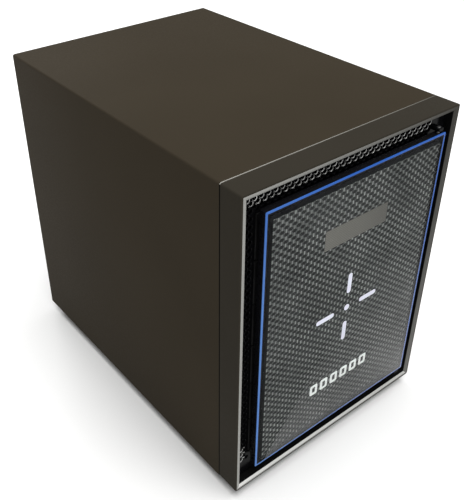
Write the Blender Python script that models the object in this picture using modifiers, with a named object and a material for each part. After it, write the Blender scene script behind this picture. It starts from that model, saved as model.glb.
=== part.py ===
"""Six-bay desktop network storage cabinet.

Frame: origin on the floor under the middle of the whole object, +Z up, front door facing -Y,
+X to the right seen from the front. The numbers are millimetres and the helpers turn them into metres.
"""

from math import cos, pi, radians, sin

import bmesh
import bpy
from mathutils import Matrix, Vector

MM = 0.001
GAP = 0.3  # left between pieces that touch
OVERSHOOT = 1.0  # how far a cutter runs past the face it opens

# Cabinet
WIDTH = 192.0
FOOT_HEIGHT = 9.0
BODY_HEIGHT = 250.0
BODY_TOP = FOOT_HEIGHT + BODY_HEIGHT
HALF_WIDTH = WIDTH / 2
BEZEL_FRONT = -138.5
BEZEL_DEPTH = 18.5
BEZEL_BACK = BEZEL_FRONT + BEZEL_DEPTH
BODY_BACK = 140.5
REAR_EXTENT = 144.0
FOOT_X, FOOT_Y = 74.0, {"front": -110.0, "rear": 112.0}
SHEET = 1.2  # steel sheet of the casing
BEZEL_WALL = 4.5
BEZEL_EDGE = 0.7
BEZEL_SLOPE_WIDTH, BEZEL_SLOPE_DEPTH = 2.0, 1.2
INSIDE_X = HALF_WIDTH - SHEET - GAP

# Recessed front panel
FASCIA_FRONT = -132.0
FASCIA_BACK = -129.5
FASCIA_X = HALF_WIDTH - BEZEL_WALL - GAP
FASCIA_LOW = FOOT_HEIGHT + BEZEL_WALL + GAP
FASCIA_HIGH = BODY_TOP - BEZEL_WALL - GAP

# Drive bays
BAYS = 6
BAY_PITCH = 34.0
BAY_BASE = 34.5
BAY_LEFT, BAY_RIGHT = -79.5, 29.5
BAY_TOP = BAY_BASE + BAYS * BAY_PITCH
TRAY_FACE_BACK = -127.0
TRAY_END = 18.0
DRIVE_FRONT, DRIVE_BACK = -126.5, 20.5
DRIVE_WIDTH, DRIVE_HEIGHT = 101.6, 26.1
BAY_MIDDLE = (BAY_LEFT + BAY_RIGHT) / 2
TRAY_FLOOR = 2.5
TRAY_SHEET = 1.2
CAGE_SHEET = 1.3
CAGE_FRONT, CAGE_BACK = -126.7, 26.7
LEVER_PIVOT = (20.0, -130.6)
LEVER_TIP = -60.0
LEVER_LOW, LEVER_HIGH = 9.8, 23.8
LEVER_HALF = 1.2

# Door
DOOR_X = 80.5
DOOR_LOW, DOOR_HIGH = 28.0, 244.0
DOOR_BACK = -136.0
RIM_FRONT = -141.5
GLASS_FRONT = -REAR_EXTENT
RIM_WIDTH = 2.6
GLASS_SLOPE = 2.4
DOOR_FRAME_FRONT = RIM_FRONT + GAP
MESH_BACK = -140.7
HINGE = (75.9, -138.4)
PIN_RADIUS = 1.25
PIN_HOLE_RADIUS = 1.4
DISPLAY_X, DISPLAY_LOW, DISPLAY_HIGH = 28.9, 194.0, 209.3
TOUCH_CENTRE = 134.5
TOUCH_DOT_RADIUS = 2.5
TOUCH_BAR = (12.7, 29.7, 3.8)  # inner radius, outer radius, width
GUIDE_HALF, GUIDE_Y = 33.0, (-140.4, -139.3)
CONTROL_X, CONTROL_Z, CONTROL_BACK = 36.0, (95.0, 216.0), -137.7
WINDOW_OUTER, WINDOW_WIDTH, WINDOW_Z = 69.0, 28.0, (40.0, 232.0)

# Electronics and rear
REAR_PANEL = (137.0, 138.5)
FAN_CENTRE = (-25.0, 150.0)
FAN_SIZE = 120.0
FAN_BORE = 57.0
FAN_Y = (111.7, REAR_PANEL[0] - GAP)
BOARD_THICKNESS = 1.6
BOARD_X = (43.0, 43.0 + BOARD_THICKNESS)
BOARD_Y, BOARD_Z = (-90.0, 136.4), (105.0, 245.0)
PORT_LEFT = BOARD_X[1] + GAP
PORT_BACK = 138.4
LAN_LOW = {"upper": 215.0, "lower": 195.0}
LAN_HEIGHT, LAN_RIGHT, LAN_WALL = 16.0, 58.9, 2.0
USB_Z, USB_RIGHT = (172.0, 187.0), 60.7
USB_WELL_WIDTH, USB_WELL_LEFT = 5.6, (45.9, 54.0)
RESET_HOLE = (51.0, 158.0)
PSU_LOW, PSU_HIGH = (51.0, -14.0, 13.0), (92.5, REAR_PANEL[0] - GAP, 95.0)
POWER_BUTTON = (60.0, 205.0)
BACKUP_BUTTON = (60.0, 180.0)
FRONT_USB = (60.0, 152.0)


# ---------------------------------------------------------------- scene helpers

def clear_scene():
    for obj in list(bpy.data.objects):
        bpy.data.objects.remove(obj, do_unlink=True)


def new_collection(name):
    made = bpy.data.collections.new(name)
    bpy.context.scene.collection.children.link(made)
    return made


clear_scene()
PARTS = new_collection("network_storage")
CUTTERS = new_collection("cutters")


def material(name, colour, roughness, metallic=0.0, transmission=0.0):
    made = bpy.data.materials.new(name)
    made.use_nodes = True
    shader = made.node_tree.nodes["Principled BSDF"]
    shader.inputs["Base Color"].default_value = (*colour, 1.0)
    shader.inputs["Roughness"].default_value = roughness
    shader.inputs["Metallic"].default_value = metallic
    shader.inputs["Transmission Weight"].default_value = transmission
    return made


CASING = material("casing_paint", (0.045, 0.040, 0.030), 0.5)
BEZEL = material("bezel_paint", (0.20, 0.20, 0.185), 0.45, 0.3)
GLOSS_BLACK = material("gloss_black", (0.006, 0.006, 0.007), 0.12)
MATTE_BLACK = material("matte_black", (0.012, 0.012, 0.013), 0.5)
GLASS = material("tinted_glass", (0.35, 0.38, 0.40), 0.03, 0.0, 0.9)
RIM_BLUE = material("rim_blue", (0.06, 0.20, 0.75), 0.3)
MESH_GREY = material("mesh_grey", (0.16, 0.16, 0.16), 0.35, 0.8)
DISPLAY = material("display_grey", (0.45, 0.44, 0.40), 0.4)
LIGHT_GUIDE = material("light_guide", (0.75, 0.74, 0.85), 0.4)
STEEL = material("bare_steel", (0.50, 0.50, 0.49), 0.35, 1.0)
ALUMINIUM = material("aluminium", (0.60, 0.60, 0.60), 0.4, 1.0)
CIRCUIT = material("circuit_board", (0.01, 0.10, 0.04), 0.45)
RUBBER = material("rubber", (0.015, 0.015, 0.015), 0.85)
BUTTON = material("button_grey", (0.30, 0.30, 0.31), 0.35)


# ---------------------------------------------------------------- shape helpers

def add(name, mesh, finish, centre=(0, 0, 0)):
    obj = bpy.data.objects.new(name, mesh)
    obj.location = Vector(centre) * MM
    if finish:
        mesh.materials.append(finish)
        PARTS.objects.link(obj)
    else:
        obj.hide_render = True
        obj.display_type = "WIRE"
        CUTTERS.objects.link(obj)
    return obj


def block(name, low, high, finish=None, bevel=0.0):
    """A box between two corners. Without a finish it is a cutter or a piece to be joined."""
    low, high = Vector(low), Vector(high)
    bm = bmesh.new()
    bmesh.ops.create_cube(bm, size=1.0)
    bmesh.ops.scale(bm, vec=(high - low) * MM, verts=bm.verts)
    mesh = bpy.data.meshes.new(name)
    bm.to_mesh(mesh)
    bm.free()
    obj = add(name, mesh, finish, (low + high) / 2)
    if bevel:
        ease_edges(obj, bevel)
    return obj


def ease_edges(obj, width):
    """A flat chamfer along every sharp edge."""
    modifier = obj.modifiers.new("edge", "BEVEL")
    modifier.width = width * MM
    modifier.segments = 1
    modifier.limit_method = "ANGLE"
    modifier.angle_limit = radians(50)


AXIS_TURNS = {
    "X": Matrix.Rotation(pi / 2, 4, "Y"),
    "Y": Matrix.Rotation(-pi / 2, 4, "X"),
    "Z": Matrix.Identity(4),
}


def rod(name, axis, centre, start, end, radius, finish=None, end_radius=None, sides=24):
    """A cylinder or cone along an axis. centre gives the other two coordinates, in X, Y, Z order."""
    bm = bmesh.new()
    bmesh.ops.create_cone(
        bm,
        cap_ends=True,
        segments=sides,
        radius1=radius * MM,
        radius2=(radius if end_radius is None else end_radius) * MM,
        depth=(end - start) * MM,
    )
    bmesh.ops.rotate(bm, cent=(0, 0, 0), matrix=AXIS_TURNS[axis].to_3x3(), verts=bm.verts)
    mesh = bpy.data.meshes.new(name)
    bm.to_mesh(mesh)
    bm.free()
    mesh.shade_smooth()
    mesh.set_sharp_from_angle(angle=radians(40))
    middle = list(centre)
    middle.insert("XYZ".index(axis), (start + end) / 2)
    return add(name, mesh, finish, middle)


# Curve plane (u, v) and extrusion direction for each way a flat outline can face
PLANES = {"XZ": Matrix.Rotation(pi / 2, 4, "X"), "XY": Matrix.Identity(4)}
NORMALS = {"XZ": Vector((0, 1, 0)), "XY": Vector((0, 0, 1))}


def extruded(name, plane, loops, start, end, finish=None):
    """A flat outline, with any inner loops as holes, extruded along the plane's normal."""
    curve = bpy.data.curves.new(name, "CURVE")
    curve.dimensions = "2D"
    curve.fill_mode = "BOTH"
    curve.extrude = (end - start) / 2 * MM
    for loop in loops:
        spline = curve.splines.new("POLY")
        spline.points.add(len(loop) - 1)
        for point, (u, v) in zip(spline.points, loop):
            point.co = (u * MM, v * MM, 0, 1)
        spline.use_cyclic_u = True
    guide = bpy.data.objects.new(name + "_outline", curve)
    CUTTERS.objects.link(guide)
    bpy.context.view_layer.update()
    graph = bpy.context.evaluated_depsgraph_get()
    mesh = bpy.data.meshes.new_from_object(guide.evaluated_get(graph))
    bpy.data.objects.remove(guide)
    bpy.data.curves.remove(curve)
    mesh.name = name
    mesh.materials.clear()
    mesh.transform(PLANES[plane])
    bm = bmesh.new()
    bm.from_mesh(mesh)
    bmesh.ops.remove_doubles(bm, verts=bm.verts, dist=1e-6)
    bmesh.ops.recalc_face_normals(bm, faces=bm.faces)
    bm.to_mesh(mesh)
    bm.free()
    return add(name, mesh, finish, NORMALS[plane] * (start + end) / 2)


def rectangle(left, low, right, high, radius=0.0, steps=3):
    """A rectangle's outline, with its corners rounded by arcs of a few steps."""
    if not radius:
        return [(left, low), (right, low), (right, high), (left, high)]
    corners = (
        (right - radius, low + radius, -pi / 2),
        (right - radius, high - radius, 0),
        (left + radius, high - radius, pi / 2),
        (left + radius, low + radius, pi),
    )
    return [
        (u + radius * cos(turn + k * pi / 2 / steps), v + radius * sin(turn + k * pi / 2 / steps))
        for u, v, turn in corners
        for k in range(steps + 1)
    ]


def circle(u, v, radius, sides=32):
    return [
        (u + radius * cos(2 * pi * k / sides), v + radius * sin(2 * pi * k / sides))
        for k in range(sides)
    ]


def combine(obj, other, operation):
    modifier = obj.modifiers.new(other.name, "BOOLEAN")
    modifier.operation = operation
    modifier.object = other
    return obj


def cut(obj, *tools):
    for tool in tools:
        combine(obj, tool, "DIFFERENCE")
    return obj


def join(obj, *pieces):
    for piece in pieces:
        combine(obj, piece, "UNION")
    return obj


def finished_mesh(obj):
    """The object's mesh with its modifiers applied, for copies that share it. The object is removed."""
    bpy.context.view_layer.update()
    graph = bpy.context.evaluated_depsgraph_get()
    tools = [m.object for m in obj.modifiers if m.type == "BOOLEAN"]
    mesh = bpy.data.meshes.new_from_object(obj.evaluated_get(graph))
    mesh.transform(Matrix.Translation(obj.location))
    for used in [obj, *tools]:
        bpy.data.objects.remove(used)
    return mesh


def copy_at(name, mesh, height):
    obj = bpy.data.objects.new(name, mesh)
    obj.location = (0, 0, height * MM)
    PARTS.objects.link(obj)
    return obj


def joint_frame(name, x, y, z, parent=None):
    """An empty on a joint's axis, which carries the pieces that move with it."""
    empty = bpy.data.objects.new(name, None)
    empty.location = Vector((x, y, z)) * MM
    PARTS.objects.link(empty)
    if parent:
        hang(empty, parent)
    bpy.context.view_layer.update()
    return empty


def hang(obj, carrier):
    bpy.context.view_layer.update()
    obj.parent = carrier
    obj.matrix_parent_inverse = carrier.matrix_world.inverted()


# ---------------------------------------------------------------- casing

def make_wrap_cover():
    """One sheet folded over the top and down both sides."""
    bend = 1.6
    outer = [(-HALF_WIDTH, FOOT_HEIGHT)]
    inner = [(-HALF_WIDTH + SHEET, FOOT_HEIGHT)]
    for side, first in ((-1, pi), (1, pi / 2)):
        centre = (side * (HALF_WIDTH - bend), BODY_TOP - bend)
        for k in range(4):
            turn = first - k * pi / 6
            outer.append((centre[0] + bend * cos(turn), centre[1] + bend * sin(turn)))
            reach = bend - SHEET
            inner.append((centre[0] + reach * cos(turn), centre[1] + reach * sin(turn)))
    outer.append((HALF_WIDTH, FOOT_HEIGHT))
    inner.append((HALF_WIDTH - SHEET, FOOT_HEIGHT))
    extruded("wrap_cover", "XZ", [outer + inner[::-1]], BEZEL_BACK + GAP, BODY_BACK, CASING)


def make_base_pan():
    """Floor plate with its two long edges folded up inside the cover."""
    flange_top = 24.0
    outer = [
        (-INSIDE_X, flange_top),
        (-INSIDE_X, FOOT_HEIGHT),
        (INSIDE_X, FOOT_HEIGHT),
        (INSIDE_X, flange_top),
    ]
    inner = [
        (INSIDE_X - SHEET, flange_top),
        (INSIDE_X - SHEET, FOOT_HEIGHT + SHEET),
        (-INSIDE_X + SHEET, FOOT_HEIGHT + SHEET),
        (-INSIDE_X + SHEET, flange_top),
    ]
    extruded("base_pan", "XZ", [outer + inner], BEZEL_BACK + GAP, REAR_PANEL[0] - GAP, CASING)


def make_front_bezel():
    """Ring with eased outer edges, whose front face slopes back into the opening."""
    inside_x = HALF_WIDTH - BEZEL_WALL
    inside_low, inside_high = FOOT_HEIGHT + BEZEL_WALL, BODY_TOP - BEZEL_WALL
    bezel = extruded(
        "front_bezel",
        "XZ",
        [
            rectangle(-HALF_WIDTH, FOOT_HEIGHT, HALF_WIDTH, BODY_TOP, 1.6),
            rectangle(-inside_x, inside_low, inside_x, inside_high, 2.5),
        ],
        BEZEL_FRONT,
        BEZEL_BACK,
        BEZEL,
    )
    ease_edges(bezel, BEZEL_EDGE)
    slope = block(
        "bezel_slope",
        (-inside_x, BEZEL_FRONT - OVERSHOOT, inside_low),
        (inside_x, BEZEL_FRONT + BEZEL_SLOPE_DEPTH, inside_high),
    )
    grow = BEZEL_SLOPE_WIDTH * (1 + OVERSHOOT / BEZEL_SLOPE_DEPTH)
    move_front_corners(slope, grow)
    cut(bezel, slope)


def make_front_fascia():
    """Recessed front panel, open at the drive bays, the two buttons and the front socket."""
    u, v = FRONT_USB
    extruded(
        "front_fascia",
        "XZ",
        [
            rectangle(-FASCIA_X, FASCIA_LOW, FASCIA_X, FASCIA_HIGH, 2.3),
            rectangle(BAY_LEFT, BAY_BASE, BAY_RIGHT, BAY_TOP),
            circle(*POWER_BUTTON, 6.4),
            circle(*BACKUP_BUTTON, 5.4, 28),
            rectangle(u - 4.0, v - 8.0, u + 4.0, v + 8.0),
        ],
        FASCIA_FRONT,
        FASCIA_BACK,
        GLOSS_BLACK,
    )


def make_rear_panel():
    """Sheet set inside the cover's back edge, open at the fan, the power supply and the ports."""
    fan_x, fan_z = FAN_CENTRE
    margin = 0.5
    extruded(
        "rear_panel",
        "XZ",
        [
            rectangle(-INSIDE_X, FOOT_HEIGHT + SHEET + GAP, INSIDE_X, BODY_TOP - SHEET - GAP),
            circle(fan_x, fan_z, FAN_BORE - 1.5, 40),
            rectangle(PSU_LOW[0] + 2, PSU_LOW[2] + 2, PSU_HIGH[0] - 2, PSU_HIGH[2] - 2),
            *[
                rectangle(PORT_LEFT - margin, low - margin, LAN_RIGHT + margin, low + LAN_HEIGHT + margin)
                for low in LAN_LOW.values()
            ],
            rectangle(PORT_LEFT - margin, USB_Z[0] - margin, USB_RIGHT + margin, USB_Z[1] + margin),
            circle(*RESET_HOLE, 1.7, 16),
        ],
        *REAR_PANEL,
        CASING,
    )


def make_feet():
    sole, top = 9.0, 10.0
    for side, x in (("left", -FOOT_X), ("right", FOOT_X)):
        for end, y in FOOT_Y.items():
            rod(f"foot_{end}_{side}", "Z", (x, y), 0.0, FOOT_HEIGHT - GAP, sole, RUBBER, top, 28)


def make_thumbscrews():
    """Knurled captive screws at the top of the rear panel, which hold the cover."""
    start, radius, height = REAR_PANEL[1] + GAP, 4.2, 247.0
    slot_depth, slot_half = 1.2, 0.6
    for side, x in (("left", -86.0), ("right", 86.0)):
        screw = rod(f"thumbscrew_{side}", "Y", (x, height), start, REAR_EXTENT, radius, STEEL, sides=20)
        slot = block(
            f"thumbscrew_{side}_slot",
            (x - radius - OVERSHOOT, REAR_EXTENT - slot_depth, height - slot_half),
            (x + radius + OVERSHOOT, REAR_EXTENT + OVERSHOOT, height + slot_half),
        )
        cut(screw, slot)


# ---------------------------------------------------------------- door

def make_door():
    """The door hangs on two pins at its right edge and opens towards -Y."""
    hinge = joint_frame("door_axis", HINGE[0], HINGE[1], (DOOR_LOW + DOOR_HIGH) / 2)
    inner_x = DOOR_X - RIM_WIDTH - GAP
    inner_low = DOOR_LOW + RIM_WIDTH + GAP
    inner_high = DOOR_HIGH - RIM_WIDTH - GAP

    rim = extruded(
        "door_rim",
        "XZ",
        [
            rectangle(-DOOR_X, DOOR_LOW, DOOR_X, DOOR_HIGH, 0.8, 2),
            rectangle(
                -inner_x - GAP, inner_low - GAP, inner_x + GAP, inner_high + GAP
            ),
        ],
        RIM_FRONT,
        DOOR_BACK,
        RIM_BLUE,
    )
    cut(rim, rod("rim_pin_hole", "Z", HINGE, 0, 300, PIN_HOLE_RADIUS + 0.3))

    frame = block(
        "door_frame",
        (-inner_x, DOOR_FRAME_FRONT, inner_low),
        (inner_x, DOOR_BACK, inner_high),
        MATTE_BLACK,
    )
    mesh_x, mesh_low, mesh_high = inner_x - 2.1, inner_low + 2.1, inner_high - 2.1
    cut(
        frame,
        block(
            "mesh_pocket",
            (-mesh_x - GAP, DOOR_FRAME_FRONT - OVERSHOOT, mesh_low - GAP),
            (mesh_x + GAP, MESH_BACK + GAP, mesh_high + GAP),
        ),
        *[
            block(
                f"window_{left}",
                (left, DOOR_FRAME_FRONT - OVERSHOOT, WINDOW_Z[0]),
                (left + WINDOW_WIDTH, DOOR_BACK + OVERSHOOT, WINDOW_Z[1]),
            )
            for left in (-WINDOW_OUTER, WINDOW_OUTER - WINDOW_WIDTH)
        ],
        block(
            "control_pocket",
            (-CONTROL_X - GAP, DOOR_FRAME_FRONT - OVERSHOOT, CONTROL_Z[0] - GAP),
            (CONTROL_X + GAP, CONTROL_BACK + GAP, CONTROL_Z[1] + GAP),
        ),
        rod("frame_hole_top", "Z", HINGE, DOOR_HIGH - 14, 300, PIN_HOLE_RADIUS),
        rod("frame_hole_bottom", "Z", HINGE, 0, DOOR_LOW + 14, PIN_HOLE_RADIUS),
    )

    glass = extruded(
        "door_glass",
        "XZ",
        [rectangle(-inner_x, inner_low, inner_x, inner_high)],
        GLASS_FRONT,
        RIM_FRONT,
        GLASS,
    )
    move_front_corners(glass, -GLASS_SLOPE)

    screen = extruded(
        "door_mesh",
        "XZ",
        [
            rectangle(-mesh_x, mesh_low, mesh_x, mesh_high),
            rectangle(
                -DISPLAY_X - GAP, DISPLAY_LOW - GAP, DISPLAY_X + GAP, DISPLAY_HIGH + GAP
            ),
            *touch_outlines(GAP),
        ],
        DOOR_FRAME_FRONT,
        MESH_BACK,
        MESH_GREY,
    )

    display = block(
        "display_module",
        (-DISPLAY_X, DOOR_FRAME_FRONT, DISPLAY_LOW),
        (DISPLAY_X, GUIDE_Y[1], DISPLAY_HIGH),
        DISPLAY,
    )
    guide = block(
        "touch_light_guide",
        (-GUIDE_HALF, GUIDE_Y[0], TOUCH_CENTRE - GUIDE_HALF),
        (GUIDE_HALF, GUIDE_Y[1], TOUCH_CENTRE + GUIDE_HALF),
        LIGHT_GUIDE,
    )
    for k, outline in enumerate(touch_outlines(0.0)):
        join(guide, extruded(f"touch_mark_{k}", "XZ", [outline], DOOR_FRAME_FRONT, GUIDE_Y[0] + 0.4))
    board = block(
        "control_board",
        (-CONTROL_X, GUIDE_Y[1] + GAP, CONTROL_Z[0]),
        (CONTROL_X, CONTROL_BACK, CONTROL_Z[1]),
        CIRCUIT,
    )

    for obj in (rim, frame, glass, screen, display, guide, board):
        hang(obj, hinge)


def move_front_corners(plate, outward):
    """Grows or shrinks an upright rectangular plate's front face, which slopes its four sides."""
    heights = [vertex.co.z for vertex in plate.data.vertices]
    middle = (min(heights) + max(heights)) / 2
    for vertex in plate.data.vertices:
        if vertex.co.y < 0:
            vertex.co.x += outward * MM * (1 if vertex.co.x > 0 else -1)
            vertex.co.z += outward * MM * (1 if vertex.co.z > middle else -1)


def touch_outlines(margin):
    """A dot and four round-ended bars around it, each grown by a margin."""
    start, end, width = TOUCH_BAR
    near, far, half = start - margin, end + margin, width / 2 + margin
    outlines = [circle(0, TOUCH_CENTRE, TOUCH_DOT_RADIUS + margin, 20)]
    for u, v in ((1, 0), (0, 1), (-1, 0), (0, -1)):
        low = [min(u * near, u * far) - half * abs(v), min(v * near, v * far) - half * abs(u)]
        high = [max(u * near, u * far) + half * abs(v), max(v * near, v * far) + half * abs(u)]
        outlines.append(
            rectangle(
                low[0],
                low[1] + TOUCH_CENTRE,
                high[0],
                high[1] + TOUCH_CENTRE,
                half - 0.01,
                5,
            )
        )
    return outlines


def make_hinge_hardware():
    """Two pins fixed in brackets that stand out from the recessed panel."""
    x, y = HINGE
    half, thickness, gap_to_door, engagement = 2.4, 2.6, 1.2, 12.5
    for end, edge, outward in (("top", DOOR_HIGH, 1), ("bottom", DOOR_LOW, -1)):
        near = edge + outward * gap_to_door
        far = near + outward * thickness
        bracket = block(
            f"hinge_bracket_{end}",
            (x - half, y - half, min(near, far)),
            (x + half, FASCIA_FRONT - GAP, max(near, far)),
            GLOSS_BLACK,
            0.4,
        )
        cut(bracket, rod(f"bracket_hole_{end}", "Z", HINGE, 0, 300, PIN_RADIUS + GAP))
        tip, head = edge - outward * engagement, far + outward * 0.4
        rod(f"hinge_pin_{end}", "Z", HINGE, min(tip, head), max(tip, head), PIN_RADIUS, STEEL)


def make_catch():
    """Magnet at the door's free lower corner, which holds the door's frame shut."""
    low = DOOR_LOW + 1.4
    block("catch_magnet", (-76, DOOR_BACK + 0.6, low), (-62, FASCIA_FRONT - GAP, low + 4.0), STEEL, 0.4)


# ---------------------------------------------------------------- drive bays

def bay_floor(bay):
    return BAY_BASE + bay * BAY_PITCH


def make_cage():
    """Two side walls with a ledge for each tray, and a lid."""
    ledge, clearance = 5.7, 1.7
    skirt = FASCIA_LOW
    top = BAY_TOP + 2.5
    left, right = BAY_LEFT - clearance, BAY_RIGHT + clearance
    for name, wall, side in (("cage_left", left, 1), ("cage_right", right, -1)):
        back = wall - side * CAGE_SHEET
        outline = [(back, top), (back, skirt), (wall, skirt)]
        for bay in range(BAYS):
            low = bay_floor(bay) + 1.0
            high = low + TRAY_SHEET
            outline += [(wall, low), (wall + side * ledge, low), (wall + side * ledge, high), (wall, high)]
        outline.append((wall, top))
        plate = extruded(name, "XZ", [outline], CAGE_FRONT, CAGE_BACK, STEEL)
        foot_low = (min(back, wall), BEZEL_BACK + 1.0, FOOT_HEIGHT + SHEET + GAP)
        join(plate, block(name + "_foot", foot_low, (max(back, wall), CAGE_BACK - 0.5, skirt + 2.0)))
    block(
        "cage_top",
        (left - CAGE_SHEET, CAGE_FRONT, top + GAP),
        (right + CAGE_SHEET, CAGE_BACK, top + GAP + SHEET),
        STEEL,
    )


def tray_mesh():
    """A face with a sunk lever seat, and a floor with two side walls behind it."""
    left, right = BAY_LEFT + 0.5, BAY_RIGHT - 0.5
    wall = DRIVE_WIDTH / 2 + GAP
    outer = wall + TRAY_SHEET
    tray = block(
        "tray", (left, FASCIA_FRONT, 0.5), (right, TRAY_FACE_BACK, BAY_PITCH - 0.5), MATTE_BLACK, 0.5
    )
    bottom, wall_top = TRAY_FLOOR, 22.0
    section = [
        (BAY_MIDDLE - outer, wall_top),
        (BAY_MIDDLE - outer, bottom),
        (BAY_MIDDLE + outer, bottom),
        (BAY_MIDDLE + outer, wall_top),
        (BAY_MIDDLE + wall, wall_top),
        (BAY_MIDDLE + wall, bottom + TRAY_SHEET),
        (BAY_MIDDLE - wall, bottom + TRAY_SHEET),
        (BAY_MIDDLE - wall, wall_top),
    ]
    join(tray, extruded("tray_sled", "XZ", [section], TRAY_FACE_BACK - 1.0, TRAY_END))
    cut(
        tray,
        block(
            "lever_seat",
            (LEVER_TIP - 12, FASCIA_FRONT - OVERSHOOT, LEVER_LOW - GAP),
            (LEVER_PIVOT[0] + 2.2, -129.0, LEVER_HIGH + GAP),
        ),
        rod("lever_pin_hole", "Z", LEVER_PIVOT, LEVER_LOW - 2.8, LEVER_HIGH + 2.8, 1.15, sides=12),
    )
    return finished_mesh(tray)


def lever_mesh():
    """A flat bar with a rounded knuckle on its pivot and a stub pin above and below."""
    x, y = LEVER_PIVOT
    arc = [
        (x + LEVER_HALF * cos(-pi / 2 + k * pi / 8), y + LEVER_HALF * sin(-pi / 2 + k * pi / 8))
        for k in range(9)
    ]
    tip = [
        (LEVER_TIP, y + LEVER_HALF),
        (LEVER_TIP, y - 0.2),
        (LEVER_TIP + 1.5, y - LEVER_HALF),
    ]
    lever = extruded("lever", "XY", [arc + tip], LEVER_LOW, LEVER_HIGH, BUTTON)
    join(lever, rod("lever_pin", "Z", LEVER_PIVOT, LEVER_LOW - 2.5, LEVER_HIGH + 2.5, 0.9, sides=12))
    return finished_mesh(lever)


def make_trays():
    trays = tray_mesh()
    levers = lever_mesh()
    half = DRIVE_WIDTH / 2
    drive_low = TRAY_FLOOR + TRAY_SHEET + GAP
    for bay in range(BAYS):
        height = bay_floor(bay)
        slide = joint_frame(f"tray_slide_{bay + 1}", BAY_MIDDLE, FASCIA_FRONT, height + BAY_PITCH / 2)
        pivot = joint_frame(f"lever_axis_{bay + 1}", *LEVER_PIVOT, height + LEVER_LOW, slide)
        hang(copy_at(f"tray_{bay + 1}", trays, height), slide)
        drive = block(
            f"drive_{bay + 1}",
            (BAY_MIDDLE - half, DRIVE_FRONT, height + drive_low),
            (BAY_MIDDLE + half, DRIVE_BACK, height + drive_low + DRIVE_HEIGHT),
            ALUMINIUM,
            1.2,
        )
        hang(drive, slide)
        hang(copy_at(f"lever_{bay + 1}", levers, height), pivot)


def make_backplane():
    """Board behind the bays, with a socket for each drive and a slot for the air beside it."""
    front, back = CAGE_BACK + GAP, CAGE_BACK + GAP + BOARD_THICKNESS
    board = block("backplane", (BAY_LEFT - 3.5, front, 33), (BAY_RIGHT + 3.5, back, 240), CIRCUIT)
    socket_x, slot_width, slot_pitch = (-48, -5), 26.0, 34.0
    for bay in range(BAYS):
        z = bay_floor(bay)
        socket_low = (socket_x[0], DRIVE_BACK + 0.5, z + 5)
        join(board, block(f"drive_socket_{bay}", socket_low, (socket_x[1], front + 0.4, z + 11)))
        for k in (-1, 0, 1):
            left = BAY_MIDDLE + k * slot_pitch - slot_width / 2
            low = (left, front - OVERSHOOT, z + 15)
            cut(board, block(f"air_slot_{bay}_{k}", low, (left + slot_width, back + OVERSHOOT, z + 29)))


# ---------------------------------------------------------------- electronics

def make_main_board():
    """Upright board beside the cage, on four standoffs, with a memory module standing on it."""
    low, high = (BOARD_X[0], BOARD_Y[0], BOARD_Z[0]), (BOARD_X[1], BOARD_Y[1], BOARD_Z[1])
    board = block("main_board", low, high, CIRCUIT)
    cage_side = BAY_RIGHT + 3.3
    inset, sunk, radius = 10.0, 0.4, 2.5
    for y in (BOARD_Y[0] + inset, 15.0):
        for z in (BOARD_Z[0] + inset, BOARD_Z[1] - inset):
            end = BOARD_X[0] + sunk
            join(board, rod(f"standoff_{y:.0f}_{z:.0f}", "X", (y, z), cage_side, end, radius, sides=12))
    join(board, block("memory", (BOARD_X[1] - sunk, -44, 122), (74, -40, 190)))


def make_heatsink():
    """Base plate with upright fins, on the processor."""
    foot = BOARD_X[1] + GAP
    fins, pitch, thickness, reach, base = 9, 6.0, 2.0, 24.0, 4.0
    first = 4.0
    outline = [(foot, first), (foot, first + (fins - 1) * pitch + thickness)]
    for k in reversed(range(fins)):
        low = first + k * pitch
        outline += [(foot + reach, low + thickness), (foot + reach, low)]
        if k:
            outline += [(foot + base, low), (foot + base, low - pitch + thickness)]
    extruded("heatsink", "XY", [outline], 152, 212, ALUMINIUM)


def make_rear_ports():
    """Two network jacks and a double USB socket, each a shell with open wells."""
    mouth = PORT_BACK + OVERSHOOT
    for level, low in LAN_LOW.items():
        high = low + LAN_HEIGHT
        jack = block(f"lan_port_{level}", (PORT_LEFT, 117, low), (LAN_RIGHT, PORT_BACK, high), STEEL, 0.3)
        well = block(
            f"lan_well_{level}",
            (PORT_LEFT + LAN_WALL + 0.5, 125.5, low + LAN_WALL),
            (LAN_RIGHT - LAN_WALL - 0.5, mouth, high - LAN_WALL),
        )
        cut(jack, well)
    low, high = USB_Z
    stack = block("usb_ports_rear", (PORT_LEFT, 120, low), (USB_RIGHT, PORT_BACK, high), STEEL, 0.3)
    for k, left in enumerate(USB_WELL_LEFT):
        right = left + USB_WELL_WIDTH
        cut(stack, block(f"usb_well_{k}", (left, 128, low + 1.2), (right, mouth, high - 1.2)))


def make_reset_button():
    """Recessed pin that is pushed through a small hole in the rear panel."""
    rod("reset_button", "Y", RESET_HOLE, 128.0, 137.6, 1.3, BUTTON, sides=16)


def make_power_supply():
    """Sheet metal box at the lower rear, with the mains inlet set into it."""
    housing = block("psu_housing", PSU_LOW, PSU_HIGH, STEEL, 0.6)
    left, right, low, high, front = 58.0, 86.0, 64.0, 86.0, 116.0
    mouth = PORT_BACK + OVERSHOOT
    seat_low = (left - GAP, front - GAP, low - GAP)
    cut(housing, block("inlet_seat", seat_low, (right + GAP, mouth, high + GAP)))
    inlet = block("power_inlet", (left, front, low), (right, PORT_BACK, high), MATTE_BLACK, 0.4)
    side, shelf, depth = 1.7, 2.6, 17.4
    well_low = (left + side, PORT_BACK - depth, low + shelf)
    cut(inlet, block("inlet_well", well_low, (right - side, mouth, high - shelf)))


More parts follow.
